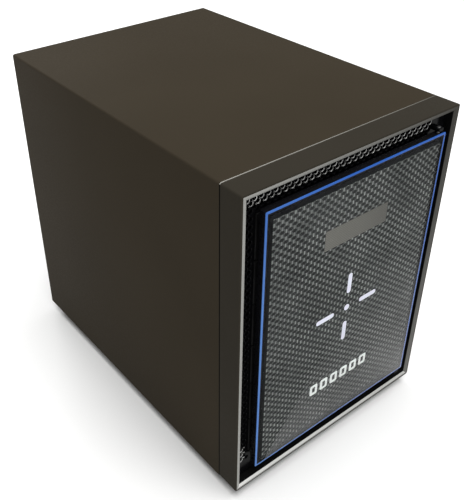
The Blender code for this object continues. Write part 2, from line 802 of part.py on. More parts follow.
def make_fan():
    """Square frame with a hub on four arms behind the rotor."""
    x, z = FAN_CENTRE
    half = FAN_SIZE / 2
    screw = 52.5
    corners = [(x + a * screw, z + b * screw) for a in (-1, 1) for b in (-1, 1)]
    frame = extruded(
        "fan_frame",
        "XZ",
        [
            rectangle(x - half, z - half, x + half, z + half, 5, 3),
            circle(x, z, FAN_BORE, 40),
            *[circle(*corner, 2.2, 10) for corner in corners],
        ],
        *FAN_Y,
        MATTE_BLACK,
    )
    spider = FAN_Y[1] - 3.0
    join(frame, rod("fan_hub", "Y", FAN_CENTRE, spider, FAN_Y[1], 20.0, sides=32))
    for k in range(2):
        arm = block(f"fan_arm_{k}", (-FAN_BORE - 1, spider + 0.4, -2), (FAN_BORE + 1, FAN_Y[1] - 0.4, 2))
        arm.location += Vector((x, 0, z)) * MM
        arm.rotation_euler = (0, pi / 4 + k * pi / 2, 0)
        join(frame, arm)
    make_fan_rotor(spider - 0.8)
    make_fan_guard()


def make_fan_rotor(end):
    """Hub and seven pitched blades, turning about Y."""
    x, z = FAN_CENTRE
    axle = joint_frame("fan_axis", x, (FAN_Y[0] + end) / 2, z)
    rotor = rod("fan_rotor", "Y", FAN_CENTRE, FAN_Y[0] + 1.0, end, 19.5, MATTE_BLACK, sides=36)
    blades, tip, root = 7, 52.0, 16.0
    middle = (FAN_Y[0] + end) / 2
    for k in range(blades):
        blade = block(f"fan_blade_{k}", (root, -0.8, -14.5), (tip, 0.8, 14.5))
        for vertex in blade.data.vertices:
            if vertex.co.x < 0:
                vertex.co.z *= 0.45
        blade.data.transform(Matrix.Translation((((root + tip) / 2) * MM, 0, 0)))
        blade.data.transform(Matrix.Rotation(radians(52), 4, "X"))
        blade.location = Vector((x, middle, z)) * MM
        blade.rotation_euler = (0, 2 * pi * k / blades, 0)
        join(rotor, blade)
    hang(rotor, axle)


def make_fan_guard():
    """Stamped rings on two crossed bars, screwed at the frame's corners."""
    x, z = FAN_CENTRE
    start, end = REAR_PANEL[1] + GAP, REAR_PANEL[1] + GAP + 1.8
    guard = rod("fan_guard", "Y", FAN_CENTRE, start, end, 12.0, STEEL, sides=28)
    for k in range(2):
        bar = block(f"guard_bar_{k}", (-74.5, start + 0.2, -1.6), (74.5, end - 0.2, 1.6))
        bar.location += Vector((x, 0, z)) * MM
        bar.rotation_euler = (0, pi / 4 + k * pi / 2, 0)
        join(guard, bar)
    for k, radius in enumerate((24.0, 35.0, 46.0, 57.0)):
        ring = [circle(x, z, radius + 0.8, 40), circle(x, z, radius - 0.8, 40)]
        join(guard, extruded(f"guard_ring_{k}", "XZ", ring, start, end))


# ---------------------------------------------------------------- front controls

def make_button(name, centre, radius, sides):
    """A cap that stands just proud of the panel, with a wider flange behind it and a stem."""
    cap = rod(name, "Y", centre, FASCIA_FRONT - 1.0, FASCIA_BACK + 0.5, radius, BUTTON, sides=sides)
    flange = rod(name + "_flange", "Y", centre, FASCIA_BACK + GAP, -128.2, radius + 1.6, sides=sides)
    stem = rod(name + "_stem", "Y", centre, -128.6, -126.5, 2.0, sides=12)
    join(cap, flange, stem)


def make_front_controls():
    make_button("power_button", POWER_BUTTON, 6.0, 32)
    make_button("backup_button", BACKUP_BUTTON, 5.0, 28)
    front, half = -118.0, 3.0
    board = block("front_io_board", (42, front, 138), (78, front + BOARD_THICKNESS, 220), CIRCUIT)
    for k, (x, z) in enumerate((POWER_BUTTON, BACKUP_BUTTON)):
        switch = block(f"tact_switch_{k}", (x - half, -125.2, z - half), (x + half, front + 0.4, z + half))
        join(board, switch)
    u, v = FRONT_USB
    port_low, port_high = (u - 3.6, FASCIA_FRONT, v - 7.6), (u + 3.6, front - GAP, v + 7.6)
    port = block("front_usb_port", port_low, port_high, STEEL, 0.3)
    well_low, well_high = (u - 2.8, FASCIA_FRONT - OVERSHOOT, v - 6.4), (u + 2.8, front - 4.0, v + 6.4)
    cut(port, block("front_usb_well", well_low, well_high))


make_wrap_cover()
make_base_pan()
make_front_bezel()
make_front_fascia()
make_rear_panel()
make_feet()
make_thumbscrews()
make_door()
make_hinge_hardware()
make_catch()
make_cage()
make_trays()
make_backplane()
make_main_board()
make_heatsink()
make_rear_ports()
make_reset_button()
make_power_supply()
make_fan()
make_front_controls()
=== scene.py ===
"""Looks of a six-bay network storage cabinet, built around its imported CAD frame.

Sizes are millimetres, turned into metres by the helpers. +Z is up and the front door faces -Y.
"""

from math import cos, pi, radians, sin

import bmesh
import bpy
from mathutils import Matrix, Vector


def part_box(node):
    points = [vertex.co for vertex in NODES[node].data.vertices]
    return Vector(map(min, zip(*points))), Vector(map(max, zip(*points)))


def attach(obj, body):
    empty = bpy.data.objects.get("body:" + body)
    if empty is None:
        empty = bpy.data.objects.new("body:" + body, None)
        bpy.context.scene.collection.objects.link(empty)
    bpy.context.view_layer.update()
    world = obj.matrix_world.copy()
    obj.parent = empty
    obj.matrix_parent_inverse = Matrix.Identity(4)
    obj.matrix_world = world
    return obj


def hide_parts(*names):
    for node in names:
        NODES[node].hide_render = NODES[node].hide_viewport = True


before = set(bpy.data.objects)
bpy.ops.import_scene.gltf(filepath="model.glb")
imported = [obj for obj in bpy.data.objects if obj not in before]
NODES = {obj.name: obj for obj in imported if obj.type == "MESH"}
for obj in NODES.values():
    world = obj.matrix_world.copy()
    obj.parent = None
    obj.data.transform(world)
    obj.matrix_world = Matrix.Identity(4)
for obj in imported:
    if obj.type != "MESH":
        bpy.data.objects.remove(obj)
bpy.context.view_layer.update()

MM = 0.001
SHARP_ANGLE = radians(38)
BAYS = range(1, 7)
FAN_CENTRE_X = -25.0


def box_of(node):
    """A node's lowest and highest corners in millimetres."""
    low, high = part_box(node)
    return low / MM, high / MM


def middle_of(node):
    low, high = box_of(node)
    return (low + high) / 2


def add_object(name, data):
    obj = bpy.data.objects.new(name, data)
    bpy.context.scene.collection.objects.link(obj)
    return obj


# ---------------- camera, floor and light

def make_camera():
    data = bpy.data.cameras.new("camera")
    data.lens = 52.02
    data.shift_x = 0.0583
    data.shift_y = -0.0506
    data.clip_start = 0.01
    camera = add_object("camera", data)
    camera.location = (-0.31306, -0.38794, 0.45934)
    camera.rotation_euler = (radians(56.579), radians(0.656), radians(-37.834))
    bpy.context.scene.camera = camera


def make_floor():
    bm = bmesh.new()
    bmesh.ops.create_grid(bm, x_segments=2, y_segments=2, size=6.0)
    mesh = bpy.data.meshes.new("floor")
    bm.to_mesh(mesh)
    bm.free()
    mesh.materials.append(FLOOR)
    add_object("floor", mesh)


def make_lights():
    """A white surround that lights less than it shows, a broad soft sun, and two softboxes."""
    world = bpy.data.worlds.new("studio")
    bpy.context.scene.world = world
    world.use_nodes = True
    tree = world.node_tree
    fill = tree.nodes["Background"]
    fill.inputs["Color"].default_value = (1.0, 1.0, 1.0, 1.0)
    fill.inputs["Strength"].default_value = 0.45
    backdrop = tree.nodes.new("ShaderNodeBackground")
    backdrop.inputs["Strength"].default_value = 1.0
    chosen = tree.nodes.new("ShaderNodeMixShader")
    seen = tree.nodes.new("ShaderNodeLightPath").outputs["Is Camera Ray"]
    tree.links.new(seen, chosen.inputs["Fac"])
    tree.links.new(fill.outputs["Background"], chosen.inputs[1])
    tree.links.new(backdrop.outputs["Background"], chosen.inputs[2])
    tree.links.new(chosen.outputs["Shader"], tree.nodes["World Output"].inputs["Surface"])
    key = bpy.data.lights.new("soft_key", "SUN")
    key.energy = 3.05
    key.angle = radians(50)
    aim_light(key, (0.03, -0.37, 1.6))
    for name, size, power, place in (
        ("softbox_front", 1.0, 5.5, (0.5, -1.5, 0.9)),
        ("softbox_rear", 0.6, 7.0, (0.05, 1.1, 0.9)),
    ):
        box = bpy.data.lights.new(name, "AREA")
        box.shape = "SQUARE"
        box.size = size
        box.energy = power
        aim_light(box, place)


def aim_light(data, place):
    """Puts a light at a place, pointing at the origin."""
    light = add_object(data.name, data)
    light.location = place
    light.rotation_euler = (-Vector(place)).to_track_quat("-Z", "Y").to_euler()


# ---------------- finishes

class Finish:
    """A material being made: one Principled shader, with noise driving its colour, gloss and grain."""

    def __init__(self, name, colour, roughness, metallic=0.0, specular=0.5):
        self.material = bpy.data.materials.new(name)
        self.material.use_nodes = True
        self.tree = self.material.node_tree
        self.shader = self.tree.nodes["Principled BSDF"]
        self.colour = colour
        self.set("Base Color", (*colour, 1.0))
        self.set("Roughness", roughness)
        self.set("Metallic", metallic)
        self.set("Specular IOR Level", specular)
        self.place = self.node("ShaderNodeTexCoord").outputs["Object"]

    def set(self, socket, value):
        self.shader.inputs[socket].default_value = value

    def node(self, kind, **settings):
        made = self.tree.nodes.new(kind)
        for name, value in settings.items():
            if hasattr(made, name):
                setattr(made, name, value)
            else:
                made.inputs[name.replace("_", " ").title()].default_value = value
        return made

    def link(self, start, end):
        self.tree.links.new(start, end)

    def stretched(self, stretch):
        """Object coordinates scaled by a factor along each axis, which draws noise out into streaks."""
        mapping = self.node("ShaderNodeMapping")
        mapping.inputs["Scale"].default_value = stretch
        self.link(self.place, mapping.inputs["Vector"])
        return mapping.outputs["Vector"]

    def noise(self, scale, detail, stretch):
        noise = self.node("ShaderNodeTexNoise", scale=scale, detail=detail)
        self.link(self.stretched(stretch) if stretch else self.place, noise.inputs["Vector"])
        return noise.outputs["Fac"]

    def spread(self, value, low, high, start=0.3, end=0.7):
        """A value's middle range mapped to another range."""
        mapped = self.node("ShaderNodeMapRange")
        for socket, number in zip(("From Min", "From Max", "To Min", "To Max"), (start, end, low, high)):
            mapped.inputs[socket].default_value = number
        self.link(value, mapped.inputs["Value"])
        return mapped.outputs["Result"]

    def math(self, operation, first, second):
        made = self.node("ShaderNodeMath", operation=operation)
        for socket, value in zip(made.inputs, (first, second)):
            if isinstance(value, (int, float)):
                socket.default_value = value
            else:
                self.link(value, socket)
        return made.outputs["Value"]

    def mix(self, share, first, second):
        """A colour between two others; either may be a node's output."""
        mixed = self.node("ShaderNodeMix", data_type="RGBA")
        self.link(share, mixed.inputs["Factor"])
        for socket, value in ((mixed.inputs[6], first), (mixed.inputs[7], second)):
            if isinstance(value, tuple):
                socket.default_value = (*value, 1.0)
            else:
                self.link(value, socket)
        return mixed.outputs[2]

    def axes(self):
        """The object's X, Y and Z coordinates in metres."""
        split = self.node("ShaderNodeSeparateXYZ")
        self.link(self.place, split.inputs["Vector"])
        return split.outputs["X"], split.outputs["Y"], split.outputs["Z"]

    def below(self, value, limit):
        """1 where a coordinate is under a limit in millimetres."""
        return self.math("LESS_THAN", value, limit * MM)

    def both(self, first, second):
        return self.math("MULTIPLY", first, second)

    def near_edge(self, back_y, low_z):
        """1 in front of back_y and above low_z, both in millimetres."""
        _, y, z = self.axes()
        return self.both(self.below(y, back_y), self.math("GREATER_THAN", z, low_z * MM))

    def paint(self, colour):
        self.link(colour, self.shader.inputs["Base Color"])
        return self

    def painted(self):
        """The output that now drives the colour."""
        return self.shader.inputs["Base Color"].links[0].from_socket

    def mottled(self, scale, amount, stretch=None):
        """Slow lighter and darker clouds in the colour."""
        share = self.spread(self.noise(scale, 2.0, stretch), 0.0, 1.0)
        dark = tuple(c * (1 - amount) for c in self.colour)
        light = tuple(min(1.0, c * (1 + amount)) for c in self.colour)
        return self.paint(self.mix(share, dark, light))

    def uneven(self, low, high, scale, stretch=None):
        """Gloss that varies between two roughnesses."""
        roughness = self.spread(self.noise(scale, 3.0, stretch), low, high)
        self.link(roughness, self.shader.inputs["Roughness"])
        return self

    def grained(self, scale, height, stretch=None):
        """A fine relief, with its height in millimetres."""
        bump = self.node("ShaderNodeBump")
        bump.inputs["Distance"].default_value = height * MM
        bump.inputs["Strength"].default_value = 0.5
        self.link(self.noise(scale, 2.0, stretch), bump.inputs["Height"])
        self.link(bump.outputs["Normal"], self.shader.inputs["Normal"])
        return self


CASING_COLOUR = (0.0348, 0.0283, 0.0194)
CASING_SPECULAR = 0.008
BEZEL_COLOUR = (0.029, 0.0255, 0.0195)


def floor_finish():
    floor = Finish("floor", (0.78, 0.78, 0.775), 0.6, specular=0.1)
    return floor.mottled(6, 0.01).grained(400, 0.05).material


def powder_coat():
    """Fine grained dark coat. At the seam the cover's edge has a painted highlight on top, fading from left
    to right, and a band of painted shade at the sides.
    """
    coat = Finish("powder_coat", CASING_COLOUR, 0.55, specular=CASING_SPECULAR)
    coat.mottled(9, 0.05).uneven(0.48, 0.62, 700).grained(2400, 0.05)
    low, high = box_of("wrap_cover")
    # Painted highlight: the top front edge at the seam is painted light grey, brightest at the left and
    # fading to the right.
    seam = coat.near_edge(low.y + 0.4, high.z - 0.9)
    highlight_fade = coat.spread(coat.axes()[0], 0.0, 1.0, low.x * MM, high.x * MM)
    edge = coat.mix(highlight_fade, (0.36, 0.35, 0.32), (0.12, 0.115, 0.10))
    # Painted shade: a near-black band along the cover's front edge at the sides stands in for the shade in
    # the seam.
    upright = coat.near_edge(low.y + 0.5, low.z)
    darkened = coat.mix(upright, coat.painted(), (0.006, 0.006, 0.005))
    return coat.paint(coat.mix(seam, darkened, edge)).material


def bezel_finish():
    """Casing colour outside and on the outer border, grey in front with painted shade that darkens it to the
    right and upwards, a painted highlight on the lower edge's upward slope, and near-black painted shade on
    the walls of the opening.
    """
    low, high = box_of("front_bezel")
    wall, border, slope_depth, overlap = 4.5, 1.3, 1.2, 0.1
    bezel = Finish("bezel_paint", BEZEL_COLOUR, 0.5, specular=CASING_SPECULAR)
    bezel.mottled(9, 0.05).uneven(0.40, 0.52, 600).grained(2400, 0.04)
    x, y, z = bezel.axes()
    across = bezel.math("ABSOLUTE", x, 0)
    middle, half = (low.z + high.z) / 2, (high.z - low.z) / 2
    upright = bezel.math("SUBTRACT", z, middle * MM)
    tall = bezel.math("ABSOLUTE", upright, 0)
    within = bezel.both(bezel.below(across, high.x - border), bezel.below(tall, half - border))
    face = bezel.both(bezel.below(y, low.y + slope_depth - 0.05), within)
    # Painted shade: the grey front darkens towards the right and towards the top, where less light falls.
    rightwards = bezel.spread(x, 0.0, 1.0, low.x * MM, high.x * MM)
    painted_falloff = bezel.both(rightwards, bezel.spread(upright, 0.65, 1.0, -half * MM, half * MM))
    grey = bezel.mix(painted_falloff, (0.29, 0.29, 0.275), (0.045, 0.043, 0.038))
    colour = bezel.mix(face, bezel.painted(), grey)
    # Painted highlight: front slopes that face upwards are painted near white, dimmed by the same falloff to
    # the right and top.
    facing = bezel.node("ShaderNodeSeparateXYZ")
    normal = bezel.node("ShaderNodeNewGeometry").outputs["True Normal"]
    bezel.link(normal, facing.inputs["Vector"])
    upward = bezel.both(face, bezel.math("GREATER_THAN", facing.outputs["Z"], 0.3))
    painted_slope_highlight = bezel.mix(painted_falloff, (0.62, 0.62, 0.60), (0.36, 0.36, 0.345))
    colour = bezel.mix(upward, colour, painted_slope_highlight)
    # Painted shade: the walls of the opening are painted near-black, darker than the casing, for the shade
    # inside the recess.
    opening_x, opening_z = high.x - wall + overlap, half - wall + overlap
    recess_shade = bezel.both(bezel.below(across, opening_x), bezel.below(tall, opening_z))
    return bezel.paint(bezel.mix(recess_shade, colour, (0.006, 0.006, 0.006))).material


def simple(name, colour, clouds, gloss, grain, specular=0.5, metallic=0.0):
    """A finish from its clouds (scale, amount), gloss (low, high, scale) and grain (scale, height)."""
    made = Finish(name, colour, (gloss[0] + gloss[1]) / 2, metallic, specular)
    return made.mottled(*clouds).uneven(*gloss).grained(*grain).material


def brushed(name, colour, low, high, stretch):
    made = Finish(name, colour, low, metallic=1.0)
    made.mottled(60, 0.12, stretch).uneven(low, high, 220, stretch)
    return made.grained(500, 0.02, stretch).material


def zinc_plate():
    """Plated sheet with the faint patches of its crystals."""
    zinc = Finish("zinc_plate", (0.47, 0.47, 0.46), 0.35, 1.0)
    cells = zinc.node("ShaderNodeTexVoronoi", scale=90.0)
    zinc.link(zinc.place, cells.inputs["Vector"])
    shade = zinc.spread(cells.outputs["Distance"], 0.0, 1.0, 0.0, 0.6)
    zinc.paint(zinc.mix(shade, (0.52, 0.52, 0.51), (0.38, 0.38, 0.38)))
    return zinc.uneven(0.28, 0.45, 160).grained(900, 0.03).material


def tinted_glass():
    """Clear grey plate: a faint mirror over a see-through tint, with slight smears in its gloss."""
    glass = Finish("tinted_glass", (0.02, 0.02, 0.022), 0.05)
    tint = glass.node("ShaderNodeBsdfTransparent")
    tint.inputs["Color"].default_value = (0.88, 0.89, 0.89, 1.0)
    glass.uneven(0.03, 0.09, 25)
    edge_on = glass.node("ShaderNodeFresnel")
    edge_on.inputs["IOR"].default_value = 1.12
    leaving = glass.node("ShaderNodeNewGeometry").outputs["Backfacing"]
    mirror = glass.both(edge_on.outputs["Fac"], glass.math("SUBTRACT", 1.0, leaving))
    mixed = glass.node("ShaderNodeMixShader")
    glass.link(mirror, mixed.inputs["Fac"])
    glass.link(tint.outputs["BSDF"], mixed.inputs[1])
    glass.link(glass.shader.outputs["BSDF"], mixed.inputs[2])
    glass.link(mixed.outputs["Shader"], glass.tree.nodes["Material Output"].inputs["Surface"])
    return glass.material


def blue_strip():
    """Black rim with a thin blue line in front, with a painted reflection that deepens the blue towards the
    top and makes it paler low on the right.
    """
    strip = Finish("blue_strip", (0.083, 0.19, 0.48), 0.28, specular=0.05)
    low, high = box_of("door_rim")
    start, width, front_depth = 0.25, 1.25, 0.4
    x, y, z = strip.axes()
    across = strip.math("ABSOLUTE", x, 0)
    upright = strip.math("ABSOLUTE", strip.math("SUBTRACT", z, (low.z + high.z) / 2 * MM), 0)
    strip.mottled(40, 0.06)
    # Painted reflection: the blue deepens towards the top and right and pales low on the right, as a glossy
    # rim would mirror a dark ceiling and a pale floor.
    deeper = strip.spread(strip.math("ADD", strip.both(x, 0.8), z), 0.0, 1.0, 0.11, 0.24)
    paler = strip.spread(strip.math("SUBTRACT", x, z), 0.0, 1.0, -0.10, 0.05)
    blue = strip.mix(deeper, strip.painted(), (0.020, 0.092, 0.37))
    blue = strip.mix(paler, blue, (0.13, 0.18, 0.40))
    inset, half = start + width, (high.z - low.z) / 2
    middle = strip.both(strip.below(across, high.x - inset), strip.below(upright, half - inset))
    outside = strip.math("SUBTRACT", 1.0, middle)
    line = strip.both(strip.below(y, low.y + front_depth), outside)
    strip.paint(strip.mix(line, (0.005, 0.005, 0.006), blue))
    return strip.uneven(0.22, 0.36, 300).grained(1500, 0.01).material


def display_panel():
    """Unlit display behind its window, with fine rows across it and painted shade that darkens it towards the
    right.
    """
    panel = Finish("display_panel", (0.18, 0.17, 0.155), 0.35, specular=0.1)
    rows = panel.node("ShaderNodeTexWave", scale=230.0, bands_direction="Z")
    panel.link(panel.place, rows.inputs["Vector"])
    shade = panel.spread(rows.outputs["Fac"], 0.0, 1.0, 0.2, 0.8)
    rows_colour = panel.mix(shade, (0.185, 0.173, 0.157), (0.258, 0.242, 0.218))
    # Painted shade: the display is darkened towards its right side.
    low, high = box_of("display_module")
    across = panel.spread(panel.axes()[0], 0.0, 0.35, low.x * MM, high.x * MM)
    panel.paint(panel.mix(across, rows_colour, (0.05, 0.048, 0.045)))
    return panel.uneven(0.35, 0.5, 300).grained(1500, 0.003).material


def circuit_board():
    """Solder mask with copper runs showing through as paler lines."""
    board = Finish("circuit_board", (0.010, 0.090, 0.040), 0.4)
    runs = board.node("ShaderNodeTexBrick", scale=140.0)
    runs.inputs["Mortar Size"].default_value = 0.035
    turned = board.node("ShaderNodeMapping")
    turned.inputs["Rotation"].default_value = (radians(90), 0, radians(45))
    board.link(board.place, turned.inputs["Vector"])
    board.link(turned.outputs["Vector"], runs.inputs["Vector"])
    board.paint(board.mix(runs.outputs["Fac"], (0.010, 0.085, 0.038), (0.05, 0.20, 0.09)))
    return board.uneven(0.3, 0.5, 300).grained(900, 0.03).material


def self_glow(finish, colour, strength):
    """Lets a finish glow faintly of its own."""
    shader = finish.node_tree.nodes["Principled BSDF"]
    shader.inputs["Emission Color"].default_value = (*colour, 1.0)
    shader.inputs["Emission Strength"].default_value = strength


FLOOR = floor_finish()
CASING = powder_coat()
BEZEL = bezel_finish()
GLOSS_BLACK = simple("gloss_black", (0.003, 0.003, 0.0035), (30, 0.1), (0.1, 0.2, 60), (900, 0.005), 0.04)
# Bare metal for punched hole edges; the fascia uses it only where painted glints fall.
PUNCHED_EDGE_GLINT = simple("punched_edge_glint", (0.42, 0.42, 0.41), (300, 0.4), (0.2, 0.4, 300), (1500, 0.01), 0.5, 0.5)
MATTE_BLACK = simple("matte_black", (0.012, 0.012, 0.013), (40, 0.2), (0.45, 0.6, 500), (1800, 0.04), 0.06)
TRAY_BLACK = simple("tray_plastic", (0.009, 0.009, 0.0095), (40, 0.2), (0.4, 0.55, 500), (1500, 0.05), 0.08)
LEVER_GREY = simple("lever_plastic", (0.10, 0.10, 0.105), (40, 0.1), (0.32, 0.46, 500), (1600, 0.03), 0.4)
MESH_STRAND = simple("mesh_strand", (0.125, 0.126, 0.124), (16, 0.22), (0.4, 0.6, 300), (1500, 0.03), 0.02)
# Painted highlight: the mesh's bonds are a lighter grey than the strands of the same sheet.
MESH_BOND_HIGHLIGHT = simple("mesh_bond", (0.33, 0.335, 0.32), (60, 0.4), (0.25, 0.4, 300), (1500, 0.02), 0.05)
LIGHT_MARK = simple("light_mark", (0.86, 0.84, 0.95), (120, 0.04), (0.35, 0.5, 300), (1500, 0.01), 0.3)
self_glow(LIGHT_MARK, (0.86, 0.82, 1.0), 0.30)
# Painted light: the printed maker's mark glows faintly though it is no lamp, to keep it bright behind the
# tinted glass.
PRINT_WHITE = simple("print_white", (0.86, 0.88, 0.86), (200, 0.08), (0.4, 0.55, 300), (1500, 0.01), 0.3)
self_glow(PRINT_WHITE, (1.0, 1.0, 0.97), 0.36)
FILTER_BLACK = simple("filter_black", (0.050, 0.050, 0.050), (30, 0.3), (0.6, 0.8, 300), (900, 0.05), 0.01)
LED_GREEN = simple("led_green", (0.10, 0.45, 0.12), (400, 0.1), (0.25, 0.4, 300), (1500, 0.01))
LED_AMBER = simple("led_amber", (0.70, 0.35, 0.04), (400, 0.1), (0.25, 0.4, 300), (1500, 0.01))
RUBBER = simple("rubber", (0.016, 0.016, 0.016), (80, 0.25), (0.7, 0.9, 300), (1200, 0.06), 0.3)
BUTTON = simple("button_plastic", (0.28, 0.28, 0.29), (60, 0.06), (0.3, 0.45, 400), (1600, 0.02), 0.4)
CHIP = simple("chip_black", (0.018, 0.018, 0.02), (200, 0.3), (0.4, 0.6, 400), (1500, 0.03), 0.4)
GOLD = simple("gold_contact", (0.83, 0.60, 0.24), (300, 0.1), (0.2, 0.32, 400), (1500, 0.01), 0.5, 1.0)
PORT_PLASTIC = simple("port_plastic", (0.010, 0.060, 0.30), (200, 0.1), (0.35, 0.5, 300), (1200, 0.02), 0.4)
CONNECTOR_WHITE = simple(
    "connector_plastic", (0.55, 0.53, 0.48), (200, 0.1), (0.4, 0.6, 300), (1200, 0.02), 0.4
)
GLASS = tinted_glass()
BLUE_STRIP = blue_strip()
DISPLAY = display_panel()
CIRCUIT = circuit_board()
ZINC = zinc_plate()
SCREW_STEEL = brushed("screw_steel", (0.42, 0.42, 0.42), 0.25, 0.4, (1, 1, 6))
CAST_ALUMINIUM = simple(
    "cast_aluminium", (0.40, 0.40, 0.41), (70, 0.12), (0.38, 0.55, 400), (1100, 0.06), 0.5, 1.0
)
DRIVE_LID = brushed("drive_lid", (0.55, 0.55, 0.56), 0.24, 0.36, (12, 1, 1))
ANODISED = brushed("anodised_fins", (0.24, 0.24, 0.25), 0.3, 0.45, (1, 1, 9))


# ---------------- shapes

class Piece:
    """One visible piece, gathered from solids and sheets given in millimetres."""

    def __init__(self, name, *finishes):
        self.name = name
        self.finishes = finishes
        self.gathered = bmesh.new()

    def take_mesh(self, mesh, finish):
        for polygon in mesh.polygons:
            polygon.material_index = finish
        self.gathered.from_mesh(mesh)
        bpy.data.meshes.remove(mesh)

    def take(self, part, finish=0, bevel=0.0):
        if bevel:
            sharp = [e for e in part.edges if e.is_manifold and e.calc_face_angle() > SHARP_ANGLE]
            shape = {"segments": 2, "profile": 0.6, "affect": "EDGES", "clamp_overlap": True}
            bmesh.ops.bevel(part, geom=sharp, offset=bevel * MM, **shape)
        mesh = bpy.data.meshes.new(self.name)
        part.to_mesh(mesh)
        part.free()
        self.take_mesh(mesh, finish)

    def stand(self, part, axis, centre, along):
        """Turns a shape made along Z to an axis. centre is its other two coordinates, in X, Y, Z order."""
        place = list(centre)
        place.insert("XYZ".index(axis), along)
        bmesh.ops.rotate(part, cent=(0, 0, 0), matrix=TURNS[axis], verts=part.verts)
        bmesh.ops.translate(part, vec=Vector(place) * MM, verts=part.verts)

    def block(self, low, high, bevel, finish=0):
        """A box with eased edges."""
        low, high = Vector(low) * MM, Vector(high) * MM
        part = bmesh.new()
        bmesh.ops.create_cube(part, size=1.0)
        bmesh.ops.scale(part, vec=high - low, verts=part.verts)
        bmesh.ops.translate(part, vec=(low + high) / 2, verts=part.verts)
        self.take(part, finish, bevel)

    def rod(self, axis, centre, start, end, radius, bevel, finish, sides):
        """A cylinder along an axis."""
        part = bmesh.new()
        size = {"radius1": radius * MM, "radius2": radius * MM, "depth": (end - start) * MM}
        bmesh.ops.create_cone(part, cap_ends=True, segments=sides, **size)
        self.stand(part, axis, centre, (start + end) / 2)
        self.take(part, finish, bevel)

    def turned(self, axis, centre, profile, finish=0, sides=40):
        """A solid of revolution. profile is (radius, distance along the axis) from end to end."""
        part = bmesh.new()
        rings = []
        for radius, along in profile:
            if radius < 0.01:
                rings.append([part.verts.new((0, 0, along * MM))])
                continue
            rings.append([])
            for k in range(sides):
                turn = 2 * pi * k / sides
                place = (radius * MM * cos(turn), radius * MM * sin(turn), along * MM)
                rings[-1].append(part.verts.new(place))
        for near, far in zip(rings, rings[1:]):
            for k in range(sides):
                corners = [near[k % len(near)], near[(k + 1) % len(near)]]
                corners += [far[(k + 1) % len(far)], far[k % len(far)]]
                part.faces.new(list(dict.fromkeys(corners)))
        for end in (rings[0], rings[-1]):
            if len(end) > 1:
                part.faces.new(end)
        bmesh.ops.recalc_face_normals(part, faces=part.faces)
        self.stand(part, axis, centre, 0.0)
        self.take(part, finish)

    def sheet(self, plane, loops, start, end, edge=0.0, finish=0):
        """A flat outline with holes, from start to end along the plane's normal, with eased edges."""
        curve = bpy.data.curves.new(self.name, "CURVE")
        curve.dimensions = "2D"
        curve.fill_mode = "BOTH"
        curve.extrude = ((end - start) / 2 - edge) * MM
        curve.bevel_depth = edge * MM
        curve.bevel_resolution = 0
        curve.offset = -edge * MM
        for loop in loops:
            add_spline(curve, [(u, v, 0.0) for u, v in loop], True)
        mesh = mesh_of(curve)
        middle = PLANE_NORMALS[plane] * ((start + end) / 2 * MM)
        mesh.transform(Matrix.Translation(middle) @ PLANES[plane])
        part = bmesh.new()
        part.from_mesh(mesh)
        bpy.data.meshes.remove(mesh)
        bmesh.ops.remove_doubles(part, verts=part.verts, dist=1e-6)
        bmesh.ops.recalc_face_normals(part, faces=part.faces)
        self.take(part, finish)

    def wire(self, points, radius, closed=False):
        curve = bpy.data.curves.new(self.name, "CURVE")
        curve.dimensions = "3D"
        curve.bevel_depth = radius * MM
        curve.bevel_resolution = 2
        curve.use_fill_caps = not closed
        add_spline(curve, points, closed)
        self.take_mesh(mesh_of(curve), 0)

    def done(self, body, slot, *replaced):
        mesh = bpy.data.meshes.new(self.name)
        self.gathered.to_mesh(mesh)
        self.gathered.free()
        mesh.shade_smooth()
        mesh.set_sharp_from_angle(angle=SHARP_ANGLE)
        for finish in self.finishes:
            mesh.materials.append(finish)
        obj = add_object(self.name, mesh)
        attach(obj, body)
        if replaced:
            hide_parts(*replaced)


TURNS = {
    "X": Matrix.Rotation(pi / 2, 3, "Y"),
    "Y": Matrix.Rotation(-pi / 2, 3, "X"),
    "Z": Matrix.Identity(3),
}
PLANES = {
    "XZ": Matrix.Rotation(pi / 2, 4, "X"),
    "XY": Matrix.Identity(4),
}
PLANE_NORMALS = {"XZ": Vector((0, 1, 0)), "XY": Vector((0, 0, 1))}


def add_spline(curve, points, closed):
    spline = curve.splines.new("POLY")
    spline.points.add(len(points) - 1)
    for point, place in zip(spline.points, points):
        point.co = (*(Vector(place) * MM), 1)
    spline.use_cyclic_u = closed


def mesh_of(curve):
    """The curve's mesh. The curve is removed."""
    guide = add_object("guide", curve)
    bpy.context.view_layer.update()
    evaluated = guide.evaluated_get(bpy.context.evaluated_depsgraph_get())
    mesh = bpy.data.meshes.new_from_object(evaluated)
    bpy.data.objects.remove(guide)
    bpy.data.curves.remove(curve)
    mesh.materials.clear()
    return mesh


def rectangle(left, low, right, high, radius=0.0, steps=4):
    if not radius:
        return [(left, low), (right, low), (right, high), (left, high)]
    corners = (
        (right - radius, low + radius, -pi / 2),
        (right - radius, high - radius, 0),
        (left + radius, high - radius, pi / 2),
        (left + radius, low + radius, pi),
    )
    return [
        (u + radius * cos(turn + k * pi / 2 / steps), v + radius * sin(turn + k * pi / 2 / steps))
        for u, v, turn in corners
        for k in range(steps + 1)
    ]


def circle(u, v, radius, sides):
    return [
        (u + radius * cos(2 * pi * k / sides), v + radius * sin(2 * pi * k / sides))
        for k in range(sides)
    ]


def slot_hole(u, v, length, width, upright=False):
    """A round-ended slot."""
    half, side = length / 2, width / 2
    if upright:
        half, side = side, half
    return rectangle(u - half, v - side, u + half, v + side, width / 2 - 0.01)


def around(low, high, gap=0.0):
    """A box's left, lower, right and upper limits seen from the front, widened by a gap."""
    return low.x - gap, low.z - gap, high.x + gap, high.z + gap


def inside(u, v, low_u, low_v, high_u, high_v):
    return low_u < u < high_u and low_v < v < high_v


# ---------------- CAD nodes that keep their shape

